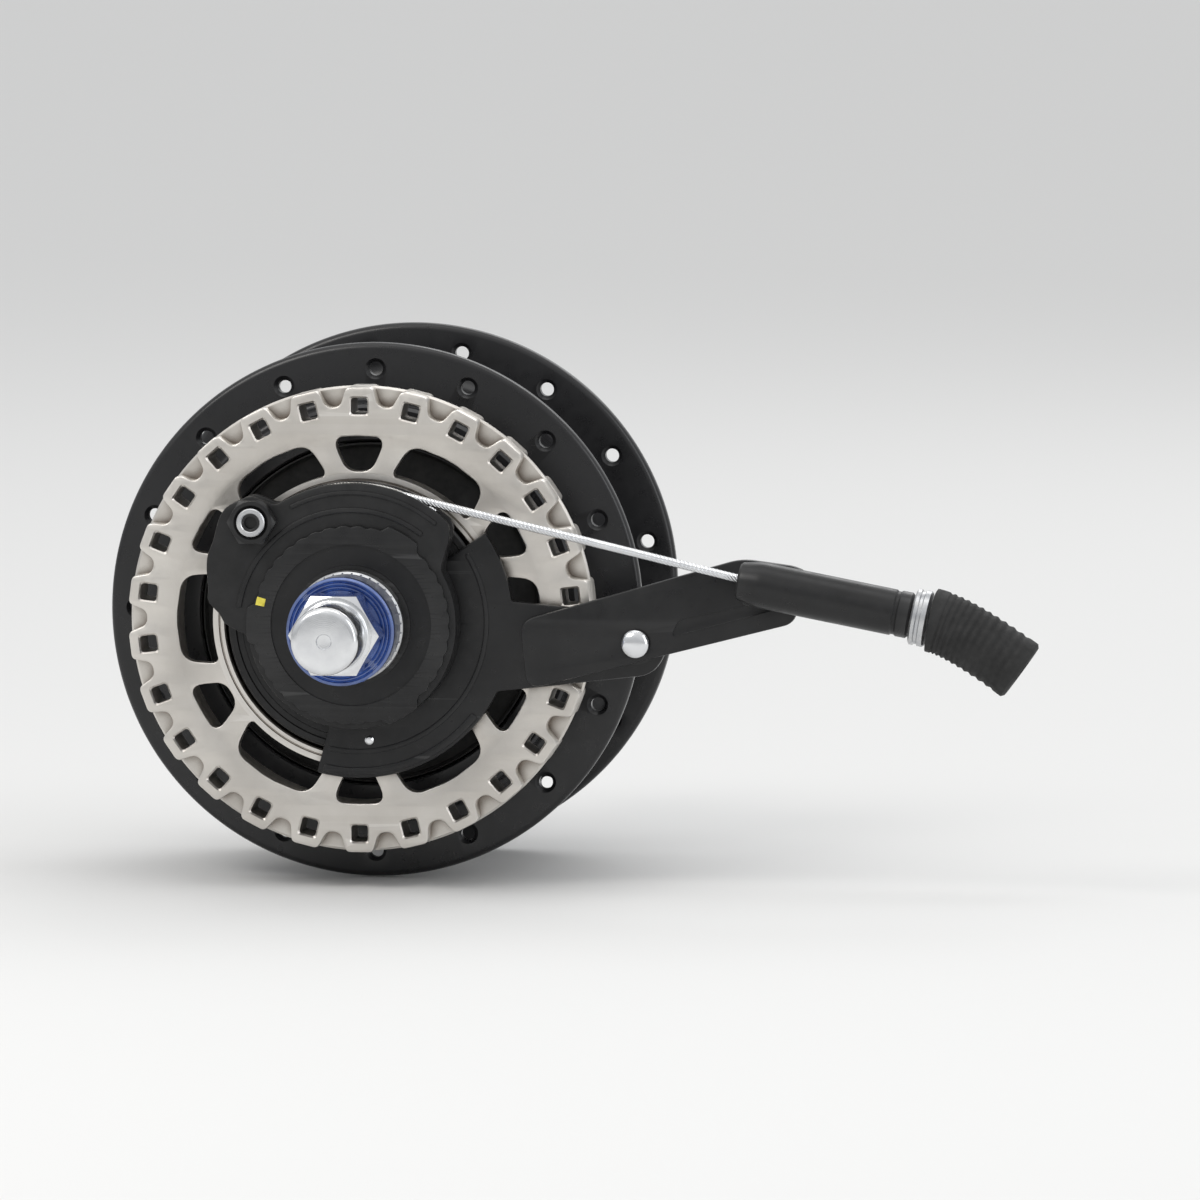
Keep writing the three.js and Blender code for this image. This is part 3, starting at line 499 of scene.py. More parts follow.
class Nodes:
    """A small helper round a material's node tree."""

    def __init__(self, name):
        self.material = bpy.data.materials.new(name)
        self.material.use_nodes = True
        self.tree = self.material.node_tree
        self.shader = self.tree.nodes["Principled BSDF"]
        self.place = self.new("ShaderNodeTexCoord").outputs["Object"]

    def new(self, kind, **settings):
        node = self.tree.nodes.new(kind)
        for key, value in settings.items():
            setattr(node, key, value)
        return node

    def link(self, source, target):
        self.tree.links.new(source, target)

    def noise(self, scale, detail=3.0):
        node = self.new("ShaderNodeTexNoise")
        node.inputs["Scale"].default_value = scale
        node.inputs["Detail"].default_value = detail
        self.link(self.place, node.inputs["Vector"])
        return node.outputs["Fac"]

    def ramp(self, source, low, high, start=0.3, stop=0.7):
        """Maps a 0..1 value to a range, between two places on it."""
        node = self.new("ShaderNodeMapRange")
        node.inputs["From Min"].default_value = start
        node.inputs["From Max"].default_value = stop
        node.inputs["To Min"].default_value = low
        node.inputs["To Max"].default_value = high
        self.link(source, node.inputs["Value"])
        return node.outputs["Result"]

    def blend(self, amount, first, second):
        node = self.new("ShaderNodeMix", data_type="RGBA")
        self.link(amount, node.inputs["Factor"])
        for key, value in (("A", first), ("B", second)):
            socket = [s for s in node.inputs if s.name == key and s.type == "RGBA"][0]
            if isinstance(value, tuple):
                socket.default_value = (*value, 1.0)
            else:
                self.link(value, socket)
        return [s for s in node.outputs if s.type == "RGBA"][0]

    def patches(self, scale, detail, low, high):
        """A value that wanders between two limits over the surface."""
        return self.ramp(self.noise(scale, detail), low, high)

    def tones(self, scale, detail, first, second):
        """A colour that wanders between two tones over the surface."""
        return self.blend(self.patches(scale, detail, 0.0, 1.0), first, second)

    def math(self, operation, first, second=None):
        node = self.new("ShaderNodeMath", operation=operation)
        for socket, value in zip(node.inputs, (first, second)):
            if isinstance(value, (int, float)):
                socket.default_value = value
            elif value is not None:
                self.link(value, socket)
        return node.outputs[0]

    def axle_radius(self):
        """Distance from the axle, in metres, for marks left by turning."""
        split = self.new("ShaderNodeSeparateXYZ")
        self.link(self.place, split.inputs[0])
        x2 = self.math("MULTIPLY", split.outputs["X"], split.outputs["X"])
        z2 = self.math("MULTIPLY", split.outputs["Z"], split.outputs["Z"])
        return self.math("SQRT", self.math("ADD", x2, z2)), split.outputs["Y"]

    def bump(self, height, strength, distance):
        node = self.new("ShaderNodeBump")
        node.inputs["Strength"].default_value = strength
        node.inputs["Distance"].default_value = distance
        self.link(height, node.inputs["Height"])
        if self.shader.inputs["Normal"].is_linked:
            earlier = self.shader.inputs["Normal"].links[0].from_socket
            self.link(earlier, node.inputs["Normal"])
        self.link(node.outputs["Normal"], self.shader.inputs["Normal"])

    def set(self, **values):
        for key, value in values.items():
            socket = self.shader.inputs[key.replace("_", " ")]
            if isinstance(value, (int, float)):
                socket.default_value = value
            elif isinstance(value, tuple):
                socket.default_value = (*value, 1.0)
            else:
                self.link(value, socket)


def edge_wear_and_highlight(nodes, low=0.52, high=0.58):
    """1 on sharp outer edges, 0 elsewhere; used for worn edges, and on the blasted steel for a painted
    highlight.
    """
    geometry = nodes.new("ShaderNodeNewGeometry")
    return nodes.ramp(geometry.outputs["Pointiness"], 0.0, 1.0, low, high)


def painted_corner_shade(nodes, reach):
    """Painted shade: 0 deep in corners, where ambient occlusion finds them sheltered, and 1 on open surfaces,
    broken up by noise.
    """
    shelter = nodes.new("ShaderNodeAmbientOcclusion", samples=8)
    shelter.inputs["Distance"].default_value = reach
    patchy = nodes.math("MULTIPLY", nodes.noise(450.0, 4.0), 0.35)
    return nodes.ramp(nodes.math("ADD", shelter.outputs["AO"], patchy), 0.0, 1.0, 0.45, 1.0)


def turning_marks(nodes, pitch, strength):
    """Fine concentric and lengthwise tool marks of a turned piece."""
    radius, along = nodes.axle_radius()
    wobble = nodes.math("MULTIPLY", nodes.noise(90.0), 0.0004)
    both = nodes.math("ADD", nodes.math("ADD", radius, along), wobble)
    wave = nodes.math("SINE", nodes.math("MULTIPLY", both, 2 * math.pi / pitch))
    nodes.bump(wave, strength, 0.00001)


def make_plated_steel():
    n = Nodes("plated_steel")
    n.set(Base_Color=n.tones(260.0, 4.0, (0.70, 0.71, 0.73), (0.80, 0.81, 0.82)))
    n.set(Metallic=1.0, Roughness=n.patches(700.0, 5.0, 0.12, 0.24))
    turning_marks(n, 0.00035, 0.12)
    n.bump(n.noise(1500.0), 0.05, 0.00002)
    return n.material


def make_zinc_steel():
    n = Nodes("zinc_steel")
    n.set(Base_Color=n.tones(400.0, 6.0, (0.46, 0.47, 0.49), (0.62, 0.62, 0.62)))
    n.set(Metallic=1.0, Roughness=n.patches(900.0, 5.0, 0.26, 0.42))
    turning_marks(n, 0.0004, 0.18)
    n.bump(n.noise(2600.0), 0.12, 0.00003)
    return n.material


def make_coloured_plate(name, deep, bright):
    """Colour-plated steel: a clear, slightly uneven dye over metal, paler where the corners are rubbed."""
    n = Nodes(name)
    tone = n.tones(500.0, 5.0, deep, bright)
    rubbed_and_lit_edges = n.math("MULTIPLY", edge_wear_and_highlight(n), 0.35)
    n.set(Base_Color=n.blend(rubbed_and_lit_edges, tone, (0.45, 0.50, 0.62)))
    n.set(Metallic=0.9, Roughness=n.patches(1100.0, 4.0, 0.24, 0.38))
    n.set(Coat_Weight=0.3, Coat_Roughness=0.2)
    turning_marks(n, 0.0003, 0.10)
    return n.material


def make_black_aluminium():
    """Satin black finish of the shell: smooth, faintly uneven, with a dull sheen."""
    n = Nodes("black_aluminium")
    tone = n.tones(35.0, 4.0, (0.007, 0.007, 0.0078), (0.013, 0.013, 0.0142))
    rubbed_and_lit_edges = n.math("MULTIPLY", edge_wear_and_highlight(n, 0.53, 0.62), 0.10)
    n.set(Base_Color=n.blend(rubbed_and_lit_edges, tone, (0.18, 0.18, 0.19)))
    n.set(Roughness=n.patches(420.0, 5.0, 0.25, 0.36), Specular_IOR_Level=0.42)
    n.set(Coat_Weight=0.12, Coat_Roughness=0.16)
    n.bump(n.noise(1900.0, 2.0), 0.06, 0.00003)
    n.bump(n.noise(160.0, 2.0), 0.04, 0.0001)
    return n.material


def make_black_steel():
    """Black coated sheet steel, with the soft orange peel of a dipped coat."""
    n = Nodes("black_steel")
    tone = n.tones(120.0, 5.0, (0.0065, 0.0065, 0.007), (0.013, 0.013, 0.0135))
    rubbed_and_lit_edges = n.math("MULTIPLY", edge_wear_and_highlight(n, 0.53, 0.60), 0.16)
    n.set(Base_Color=n.blend(rubbed_and_lit_edges, tone, (0.20, 0.20, 0.20)))
    n.set(Metallic=0.15, Roughness=n.patches(520.0, 4.0, 0.26, 0.42), Specular_IOR_Level=0.42)
    n.bump(n.noise(900.0, 3.0), 0.10, 0.00005)
    return n.material


def make_black_plastic():
    """Glass-filled nylon: fine moulded grain and a low, broken gloss."""
    n = Nodes("black_plastic")
    n.set(Base_Color=n.tones(300.0, 6.0, (0.006, 0.006, 0.0064), (0.013, 0.013, 0.0134)))
    n.set(Roughness=n.patches(1300.0, 4.0, 0.34, 0.54), Specular_IOR_Level=0.38)
    n.bump(n.noise(3200.0, 3.0), 0.20, 0.00004)
    return n.material


def make_black_rubber():
    n = Nodes("black_rubber")
    bloom = n.ramp(n.noise(180.0, 6.0), 0.0, 1.0, 0.45, 0.75)
    n.set(Base_Color=n.blend(bloom, (0.012, 0.012, 0.012), (0.026, 0.026, 0.026)))
    n.set(Roughness=n.patches(800.0, 4.0, 0.62, 0.80), Specular_IOR_Level=0.4)
    n.bump(n.noise(2200.0, 4.0), 0.22, 0.00005)
    return n.material


def make_blasted_steel():
    """Bead-blasted stainless steel: a warm, even, fine-grained surface, painted brighter on its outer edges
    as a highlight and darker deep in its corners as shade.
    """
    n = Nodes("blasted_steel")
    tone = n.tones(60.0, 5.0, (0.545, 0.515, 0.475), (0.68, 0.65, 0.605))
    # painted highlight: the sharp outer edges are painted paler
    rubbed_and_lit_edges = n.math("MULTIPLY", edge_wear_and_highlight(n), 0.5)
    clean = n.blend(rubbed_and_lit_edges, tone, (0.80, 0.775, 0.74))
    # painted shade: the steel is painted dark brown deep in its corners
    n.set(Base_Color=n.blend(painted_corner_shade(n, 0.0025), (0.16, 0.125, 0.10), clean))
    n.set(Metallic=1.0, Roughness=n.patches(900.0, 5.0, 0.30, 0.44))
    n.bump(n.noise(3600.0, 2.0), 0.35, 0.00004)
    n.bump(n.noise(500.0, 3.0), 0.06, 0.00008)
    return n.material


def make_oiled_steel(name, dark, light):
    """Hardened gear steel under a film of oil."""
    n = Nodes(name)
    n.set(Base_Color=n.tones(220.0, 5.0, dark, light))
    n.set(Metallic=1.0, Roughness=n.patches(600.0, 5.0, 0.22, 0.40))
    n.set(Coat_Weight=0.5, Coat_Roughness=0.08, Coat_Tint=(1.0, 0.93, 0.80))
    turning_marks(n, 0.0005, 0.15)
    return n.material


def make_bearing_steel():
    n = Nodes("bearing_steel")
    n.set(Base_Color=n.tones(300.0, 3.0, (0.62, 0.62, 0.64), (0.72, 0.72, 0.73)))
    n.set(Metallic=1.0, Roughness=n.patches(800.0, 5.0, 0.06, 0.16))
    n.set(Coat_Weight=0.4, Coat_Roughness=0.05)
    turning_marks(n, 0.0003, 0.06)
    return n.material


def make_marking_paint():
    """The small yellow setting marks, printed a little unevenly."""
    n = Nodes("marking_paint")
    n.set(Base_Color=n.tones(900.0, 5.0, (0.62, 0.52, 0.04), (0.80, 0.70, 0.10)))
    n.set(Roughness=0.45)
    n.bump(n.noise(2500.0, 3.0), 0.15, 0.00003)
    return n.material


MATERIALS = {
    "plated_steel": make_plated_steel(),
    "zinc_steel": make_zinc_steel(),
    "blue_plate": make_coloured_plate("blue_plate", (0.014, 0.045, 0.22), (0.035, 0.10, 0.38)),
    "green_plate": make_coloured_plate("green_plate", (0.012, 0.10, 0.04), (0.035, 0.20, 0.09)),
    "black_aluminium": make_black_aluminium(),
    "black_steel": make_black_steel(),
    "black_plastic": make_black_plastic(),
    "black_rubber": make_black_rubber(),
    "blasted_steel": make_blasted_steel(),
    "gear_steel": make_oiled_steel("gear_steel", (0.34, 0.345, 0.36), (0.50, 0.50, 0.51)),
    "carrier_steel": make_oiled_steel("carrier_steel", (0.24, 0.25, 0.265), (0.38, 0.39, 0.40)),
    "bearing_steel": make_bearing_steel(),
}
MARKING_PAINT = make_marking_paint()
NODE_SLOT = {part["node"]: part["material_slot"] for part in frame["record"]["subparts"]}
NODE_BODY = {
    node: body for body, nodes in frame["record"]["behaviour"]["bodies"].items() for node in nodes
}


def extra(thing, name, body, slot, material=None):
    """A small piece that goes with a body and stands for no CAD node of its own."""
    thing.name = name
    thing.data.materials.clear()
    thing.data.materials.append(material or MATERIALS[slot])
    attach(thing, body)


def stand_for(thing, node):
    """Puts a finer piece in place of the CAD node of the same part."""
    extra(thing, node + "_fine", NODE_BODY[node], NODE_SLOT[node])
    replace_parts(thing, node)


# ---------------------------------------------------------------- axle, nuts and washers

def flat_sided(radius, degrees, flat):
    """A radius kept inside two flats at x = +flat and x = -flat."""
    across = abs(math.cos(math.radians(degrees)))
    return min(radius, flat / across) if across > 1e-6 else radius


def axle_shape(radius, y, degrees):
    """The thread is a helix near both ends of the axle, and the flats cut through it."""
    if abs(y) > THREAD_START and radius > 1:
        phase = (y / THREAD_PITCH + degrees / 360) % 1
        radius -= THREAD_DEPTH * abs(2 * phase - 1)
    return flat_sided(radius, degrees, AXLE_FLAT)


def axle_profile():
    """Close steps along both threads, one long step between them."""
    step = THREAD_PITCH / 4
    count = round((AXLE_END - 0.6 - THREAD_START) / step)
    thread = [THREAD_START + i * step for i in range(count + 1)]
    profile = [(0, -AXLE_END), (AXLE_RADIUS - 0.6, -AXLE_END)]
    profile += [(AXLE_RADIUS, -y) for y in reversed(thread)]
    profile += [(AXLE_RADIUS, y) for y in thread]
    profile += [(AXLE_RADIUS - 0.6, AXLE_END), (0, AXLE_END)]
    return profile


stand_for(lathe("axle", axle_profile(), 48, axle_shape), "axle")


def cap_nut(side):
    """A chamfered hexagon that grows into a plain domed cap with a small centre mark."""
    hex_end = NUT_FOOT + NUT_HEX_HEIGHT
    dome_end = hex_end + DOME_HEIGHT
    low, high = sorted((side * NUT_FOOT, side * hex_end))
    hexagon = plate("hexagon", circle(NUT_HEX_RADIUS, 6), low, high, bevel=0.12)
    turned_blank = lathe("blank", mirrored([
        (0, NUT_FOOT - 1), (7.7, NUT_FOOT - 1), (7.7, NUT_FOOT), (8.8, NUT_FOOT + 0.7),
        (8.8, hex_end - 0.75), (7.35, hex_end), (7.35, hex_end + 1), (0, hex_end + 1),
    ], side), 96)
    body = combine("body", "INTERSECT", hexagon, turned_blank)
    dome_profile = [(0, hex_end - 1), (DOME_RADIUS + 0.5, hex_end - 1)]
    dome_profile += bend((DOME_RADIUS + 0.5, hex_end + 0.5), 0.5, 270, 180)
    dome_profile += bend((DOME_RADIUS - 1.3, dome_end - 1.3), 1.3, 0, 90)
    dome_profile += [(1.5, dome_end), (1.3, dome_end - 0.25), (0, dome_end - 0.3)]
    dome = lathe("dome", mirrored(dome_profile, side), 96, sharp=24)
    bore_end = AXLE_END + GAP
    bore = lathe("bore", mirrored([
        (0, NUT_FOOT - 2), (BORE + 0.8, NUT_FOOT - 2), (BORE + 0.8, NUT_FOOT), (BORE, NUT_FOOT + 0.8),
        (BORE, bore_end), (0, bore_end),
    ], side), 48)
    return combine("cap_nut", "DIFFERENCE", combine("solid", "UNION", body, dome), bore, sharp=24)


def non_turn_washer(side):
    """A ribbed round plate with a flatted bore, and a tab that reaches into the dropout slot."""
    face = WASHER_INNER + WASHER_THICKNESS
    profile = [(0, WASHER_INNER), (WASHER_RADIUS - 0.3, WASHER_INNER), (WASHER_RADIUS, WASHER_INNER + 0.3)]
    profile += [(WASHER_RADIUS, face - 0.35), (WASHER_RADIUS - 0.35, face)]
    for groove in WASHER_GROOVES:
        profile += [(groove + 0.22, face), (groove + 0.1, face - 0.25)]
        profile += [(groove - 0.1, face - 0.25), (groove - 0.22, face)]
    profile += [(0, face)]
    disc = lathe("disc", mirrored(profile, side), 128, sharp=24)
    tab_outline = rounded([(-4.6, -9.6), (4.6, -9.6), (4.6, -6), (-4.6, -6)], 0.6)
    low, high = sorted((side * (DROPOUT_FACE + 2.6), side * (WASHER_INNER + 1)))
    tab = plate("tab", tab_outline, low, high, bevel=0.2)
    slot_outline = [polar(flat_sided(BORE, a, AXLE_FLAT + GAP), a) for a in range(0, 360, 5)]
    low, high = sorted((side * (DROPOUT_FACE - 2), side * (face + 2)))
    slot = plate("slot", slot_outline, low, high, bevel=0.01)
    return combine("washer", "DIFFERENCE", combine("both", "UNION", disc, tab), slot, sharp=24)


def lock_nut(side, inner):
    """A round nut with two spanner flats and fine radial teeth that bite the dropout."""
    profile = [
        (BORE, inner + 0.5), (BORE + 0.5, inner), (9.9, inner), (10.6, inner + 0.6),
        (10.6, DROPOUT_FACE - 0.4), (10.2, DROPOUT_FACE), (BORE + 0.5, DROPOUT_FACE),
        (BORE, DROPOUT_FACE - 0.5),
    ]
    body = lathe("nut", mirrored(profile, side), 144, sharp=24)
    cutters = []
    low, high = sorted((side * (inner - 1), side * (DROPOUT_FACE - 1.6)))
    for way in (-1, 1):
        outline = [(way * 9.2, -14), (way * 14, -14), (way * 14, 14), (way * 9.2, 14)]
        cutters.append(plate("flat", outline if way > 0 else outline[::-1], low, high, bevel=0.01))
    low, high = sorted((side * (DROPOUT_FACE - 0.25), side * (DROPOUT_FACE + 1)))
    notch_outline = [(6.9, -0.12), (11.5, -0.2), (11.5, 0.2), (6.9, 0.12)]
    notch = plate("notch", notch_outline, low, high, bevel=0.01)
    notches = around(notch, LOCK_NUT_TEETH, 360 / LOCK_NUT_TEETH / 2)
    cutters.append(merged("notches", *notches))
    return combine("lock_nut", "DIFFERENCE", body, *cutters, sharp=24)


for side_name, side, lock_inner in (("right", -1, RIGHT_LOCK_NUT_INNER), ("left", 1, LEFT_LOCK_NUT_INNER)):
    stand_for(cap_nut(side), f"{side_name}_cap_nut")
    stand_for(non_turn_washer(side), f"{side_name}_non_turn_washer")
    stand_for(lock_nut(side, lock_inner), f"{side_name}_lock_nut")


# ---------------------------------------------------------------- left side

stand_for(lathe("left_cone", [
    (BORE, 37.9), (BORE + 0.3, 37.6), (8.4, 37.6), (8.6, 37.8),
    (8.75, 41.5), (9.2, 43.0), (10.2, 43.9), (11.2, 44.3), (11.2, 45.2), (11.0, 45.4),
    (9.6, 45.4), (9.6, 54.5), (9.1, 55), (BORE + 0.4, 55), (BORE, 54.6),
], 120), "left_cone")
stand_for(lathe("left_dust_cap", [
    (9.9, 46), (15.4, 46), (16.2, 46.8), (16.2, 47.7), (15.9, 47.9), (15.9, 48.2),
    (16.2, 48.4), (16.2, 49.2), (15.9, 49.7), (14.2, 51.0), (13.2, 51.6), (12.2, 51.6),
    (12.0, 51.2), (11.0, 51.2), (10.8, 51.6), (9.9, 51.6),
], 128, sharp=24), "left_dust_cap")
stand_for(lathe("left_spacer", [
    (BORE, 55.5), (BORE + 0.2, 55.3), (8.2, 55.3), (8.6, 55.7), (8.6, 60.5), (8.2, 60.9), (BORE + 0.2, 60.9),
    (BORE, 60.7),
], 96), "left_spacer")


# ---------------------------------------------------------------- hub shell

def splined(radius, y, degrees):
    """Square-sided splines round the rotor seat."""
    if y < ROTOR_SEAT + 0.4 or radius < 16.3:
        return radius
    place = (degrees * ROTOR_SPLINES / 360) % 1
    return radius if place < 0.5 else radius - ROTOR_SPLINE_DEPTH


def shell_profile():
    right_out = RIGHT_FLANGE - FLANGE_THICKNESS / 2
    right_in = RIGHT_FLANGE + FLANGE_THICKNESS / 2
    left_in = LEFT_FLANGE - FLANGE_THICKNESS / 2
    left_out = LEFT_FLANGE + FLANGE_THICKNESS / 2
    profile = [(SHELL_BORE, -33.0), (33.4, -33.4), (39.4, -33.4), (40, -32.8), (40.1, -30.5)]
    profile += [(39.7, -30.2), (39.7, -29.8), (40.1, -29.5), (40.3, -28.9)]
    profile += bend((41.5, right_out - 1.2), 1.2, 180, 90)
    profile += bend((FLANGE_RADIUS - 1.2, right_out + 1.2), 1.2, 270, 360)
    profile += bend((FLANGE_RADIUS - 1.2, right_in - 1.2), 1.2, 0, 90)
    profile += bend((44, right_in + 5), 5, 270, 210, 8)
    profile += [(38.9, -19.2), (BARREL, -17.6)]
    profile += [(BARREL, -16.6), (BARREL_LINE, -16.4), (BARREL_LINE, -15.9), (BARREL, -15.7)]
    profile += [(BARREL, 19.7), (BARREL_LINE, 19.9), (BARREL_LINE, 20.4), (BARREL, 20.6)]
    profile += [(38.6, 22.2)]
    profile += bend((44, left_in - 5), 5, 150, 90, 8)
    profile += bend((FLANGE_RADIUS - 1.2, left_in + 1.2), 1.2, 270, 360)
    profile += bend((FLANGE_RADIUS - 1.2, left_out - 1.2), 1.2, 0, 90)
    profile += [(38, left_out), (36, 32.9), (29.5, 34.4), (28.6, 34.4), (28.4, 34.9), (22.6, 36.6), (22, 37)]
    profile += [(17.4, ROTOR_SEAT), (ROTOR_SPLINE, ROTOR_SEAT + 0.5), (ROTOR_SPLINE, 45.0)]
    profile += [(16.5, 45.4), (15.9, 45.4), (15.6, 45.1), (15.6, 35.6), (18, 33.6), (27, 30.4)]
    profile += [(SHELL_BORE, 26)]
    return profile


def spoke_cutter(flange):
    """One spoke hole, countersunk on both faces of the flange."""
    half = FLANGE_THICKNESS / 2
    thing = lathe("hole", [
        (0, -half - 1), (SPOKE_HOLE + 1.7, -half - 1), (SPOKE_HOLE, -half + 0.7),
        (SPOKE_HOLE, half - 0.7), (SPOKE_HOLE + 1.7, half + 1), (0, half + 1),
    ], 20)
    return moved(thing, x=SPOKE_CIRCLE, y=flange)


spoke_holes = around(spoke_cutter(RIGHT_FLANGE), SPOKES)
spoke_holes += around(spoke_cutter(LEFT_FLANGE), SPOKES, 360 / SPOKES / 2)
shell = lathe("shell", shell_profile(), ROTOR_SPLINES * 8, splined, sharp=24)
stand_for(combine("hub_shell", "DIFFERENCE", shell, merged("holes", *spoke_holes), sharp=24), "hub_shell")
stand_for(lathe("shell_dust_seal", [
    (26.2, -33.0), (26.6, -33.2), (27.6, -33.0), (28.4, -32.6), (31.8, -32.6), (32.4, -33.2), (32.7, -33.0),
    (32.7, -31.8), (26.6, -31.8), (26.2, -32.1),
], 160), "shell_dust_seal")


# ---------------------------------------------------------------- driver and sprocket

stand_for(lathe("driver", [
    (8, -20.9), (30.1, -20.9), (30.3, -21.1), (30.3, -23.0), (30.1, -23.2), (26.2, -23.2),
    (25.8, -23.6), (25.8, -24.9), (24.5, -26.2), (24.15, -27.5), (24.5, -28.8), (25.8, -30.1),
    (25.8, -32.2), (25.5, -32.7), (22.3, -34.5), (21.6, -34.8), (17.8, -35.0), (17.4, -35.4),
    (17.4, -47.7), (16.2, -47.7), (16.2, -49.3), (17.4, -49.3), (17.4, -49.8), (17.0, -50.2),
    (12.4, -50.2), (12, -49.8), (12, -46.7), (12.9, -45.7), (13.3, -44.5), (12.9, -43.3), (12, -42.3),
    (12, -40.6), (8.4, -40.6), (8, -40.2),
], 144), "driver")


def tooth_outline():
    """The rim as seen along the axle: flat-topped teeth with rounded corners and rounded floors."""
    corners = []
    step = 360 / TEETH
    for i in range(TEETH):
        middle = FIRST_TOOTH + i * step
        corners.append((*polar(FLOOR_RADIUS, middle - 0.37 * step), 1.4))
        corners.append((*polar(TIP_RADIUS, middle - 0.24 * step), 0.9))
        corners.append((*polar(TIP_RADIUS, middle + 0.24 * step), 0.9))
        corners.append((*polar(FLOOR_RADIUS, middle + 0.37 * step), 1.4))
    return rounded(corners, 1.0, 4)


def arm_window(middle):
    """The opening between two arms. Its curved sides stop short of the corners, which are round."""
    def reach(half_width, radius):
        return 180 / ARMS - math.degrees(math.asin(half_width / radius))

    outer = reach(ARM_HALF_WIDTH_OUTER, RIM_RADIUS)
    inner = reach(ARM_HALF_WIDTH_INNER, ARM_ROOT)
    outer_room = math.degrees(CORNER_ROOM * WINDOW_CORNER / RIM_RADIUS)
    inner_room = math.degrees(CORNER_ROOM * WINDOW_INNER_CORNER / ARM_ROOT)
    outer_side = arc(RIM_RADIUS - 0.1, middle - outer + outer_room, middle + outer - outer_room, 10)
    inner_side = arc(ARM_ROOT, middle + inner - inner_room, middle - inner + inner_room, 8)
    points = [(*polar(RIM_RADIUS - 0.1, middle - outer), WINDOW_CORNER)]
    points += outer_side
    points += [
        (*polar(RIM_RADIUS - 0.1, middle + outer), WINDOW_CORNER),
        (*polar(ARM_ROOT, middle + inner), WINDOW_INNER_CORNER),
    ]
    points += inner_side
    points += [(*polar(ARM_ROOT, middle - inner), WINDOW_INNER_CORNER)]
    return rounded(points, 0.2, 6)


def arm_hole(angle):
    """The rounded three-cornered hole in the middle of an arm."""
    corners = []
    for along, across, radius in ARM_HOLE_CORNERS:
        ax, az = polar(along, angle)
        cx, cz = polar(across, angle + 90)
        corners.append((ax + cx, az + cz, radius))
    return rounded(corners, 1.0, 6)


def mud_port():
    """A square channel through a tooth, flared where it meets the faces."""
    half = MUD_PORT / 2
    low, high = SPROCKET_Y
    loops = []
    for y, grow in ((low - 0.5, 0.8), (low + 0.3, 0.0), (high - 0.3, 0.0), (high + 0.5, 0.8)):
        size = half + grow
        outline = rounded([(-size, -size), (size, -size), (size, size), (-size, size)], 0.6, 3)
        loops.append([(x + MUD_PORT_RADIUS, y, z) for x, z in outline])
    return loft("port", loops)


def belt_sprocket():
    low, high = SPROCKET_Y
    rim = plate("rim", tooth_outline(), low, high, [circle(RIM_RADIUS, 120)], 0.35)
    fin_half = FIN_WIDTH / 2
    fin = lathe("fin", [
        (RIM_RADIUS + 1, BELT_LINE - fin_half), (TIP_RADIUS - 0.4, BELT_LINE - fin_half),
        (TIP_RADIUS, BELT_LINE - fin_half + 0.4), (TIP_RADIUS, BELT_LINE + fin_half - 0.4),
        (TIP_RADIUS - 0.4, BELT_LINE + fin_half), (RIM_RADIUS + 1, BELT_LINE + fin_half),
    ], TEETH * 6)
    holes = [circle(ARM_ROOT - 0.9, 120)]
    holes += [arm_window(i * 360 / ARMS) for i in range(ARMS)]
    holes += [arm_hole((i + 0.5) * 360 / ARMS) for i in range(ARMS)]
    arms = plate("arms", circle(RIM_RADIUS + 1.2, 120), low + 0.02, low + ARM_THICKNESS, holes, 0.3)
    wall = lathe("wall", [
        (WALL_INNER + 0.3, low), (26.75, low), (26.85, low + 0.35), (27.05, low + 0.35), (27.15, low),
        (ARM_ROOT, low), (ARM_ROOT, WEB_HIGH - 0.6), (ARM_ROOT - 0.6, WEB_HIGH),
        (18.1, WEB_HIGH), (17.7, WEB_HIGH - 0.4), (17.7, WEB_LOW + 0.4), (18.1, WEB_LOW),
        (WALL_INNER - 0.7, WEB_LOW), (WALL_INNER, WEB_LOW - 0.7), (WALL_INNER, low + 0.3),
    ], 160)
    ports = merged("ports", *around(mud_port(), TEETH, FIRST_TOOTH))
    body = combine("sprocket", "UNION", rim, fin, arms, wall)
    return combine("sprocket", "DIFFERENCE", body, ports)


stand_for(belt_sprocket(), "belt_sprocket")

snap_outline = rounded([*arc(19.6, 110, 430, 60), *arc(16.6, 430, 110, 60)], 0.5)
stand_for(plate("snap_ring", snap_outline, -49, -48, bevel=0.12), "sprocket_snap_ring")
stand_for(lathe("driver_cap", [
    (12.6, -51.3), (12.9, -51.6), (22.4, -51.6), (22.6, -51.3), (23.6, -51.3), (23.8, -51.6), (24.8, -51.6),
    (25.2, -51.2), (25.2, -48.2), (24.9, -47.9), (24.4, -47.9), (24.2, -48.1), (24.2, -50.6), (12.6, -50.6),
], 144, sharp=24), "driver_cap")
stand_for(lathe("right_cone", [
    (6.9, -53.3), (7.3, -53.7), (9.4, -53.7), (9.8, -53.3), (9.8, -47.2), (10.1, -46.2),
    (9.3, -45.2), (8.85, -44.2), (8.5, -43.0), (8.0, -41.4), (6.9, -41.4),
], 120), "right_cone")


# ---------------------------------------------------------------- cassette joint: bracket and arm

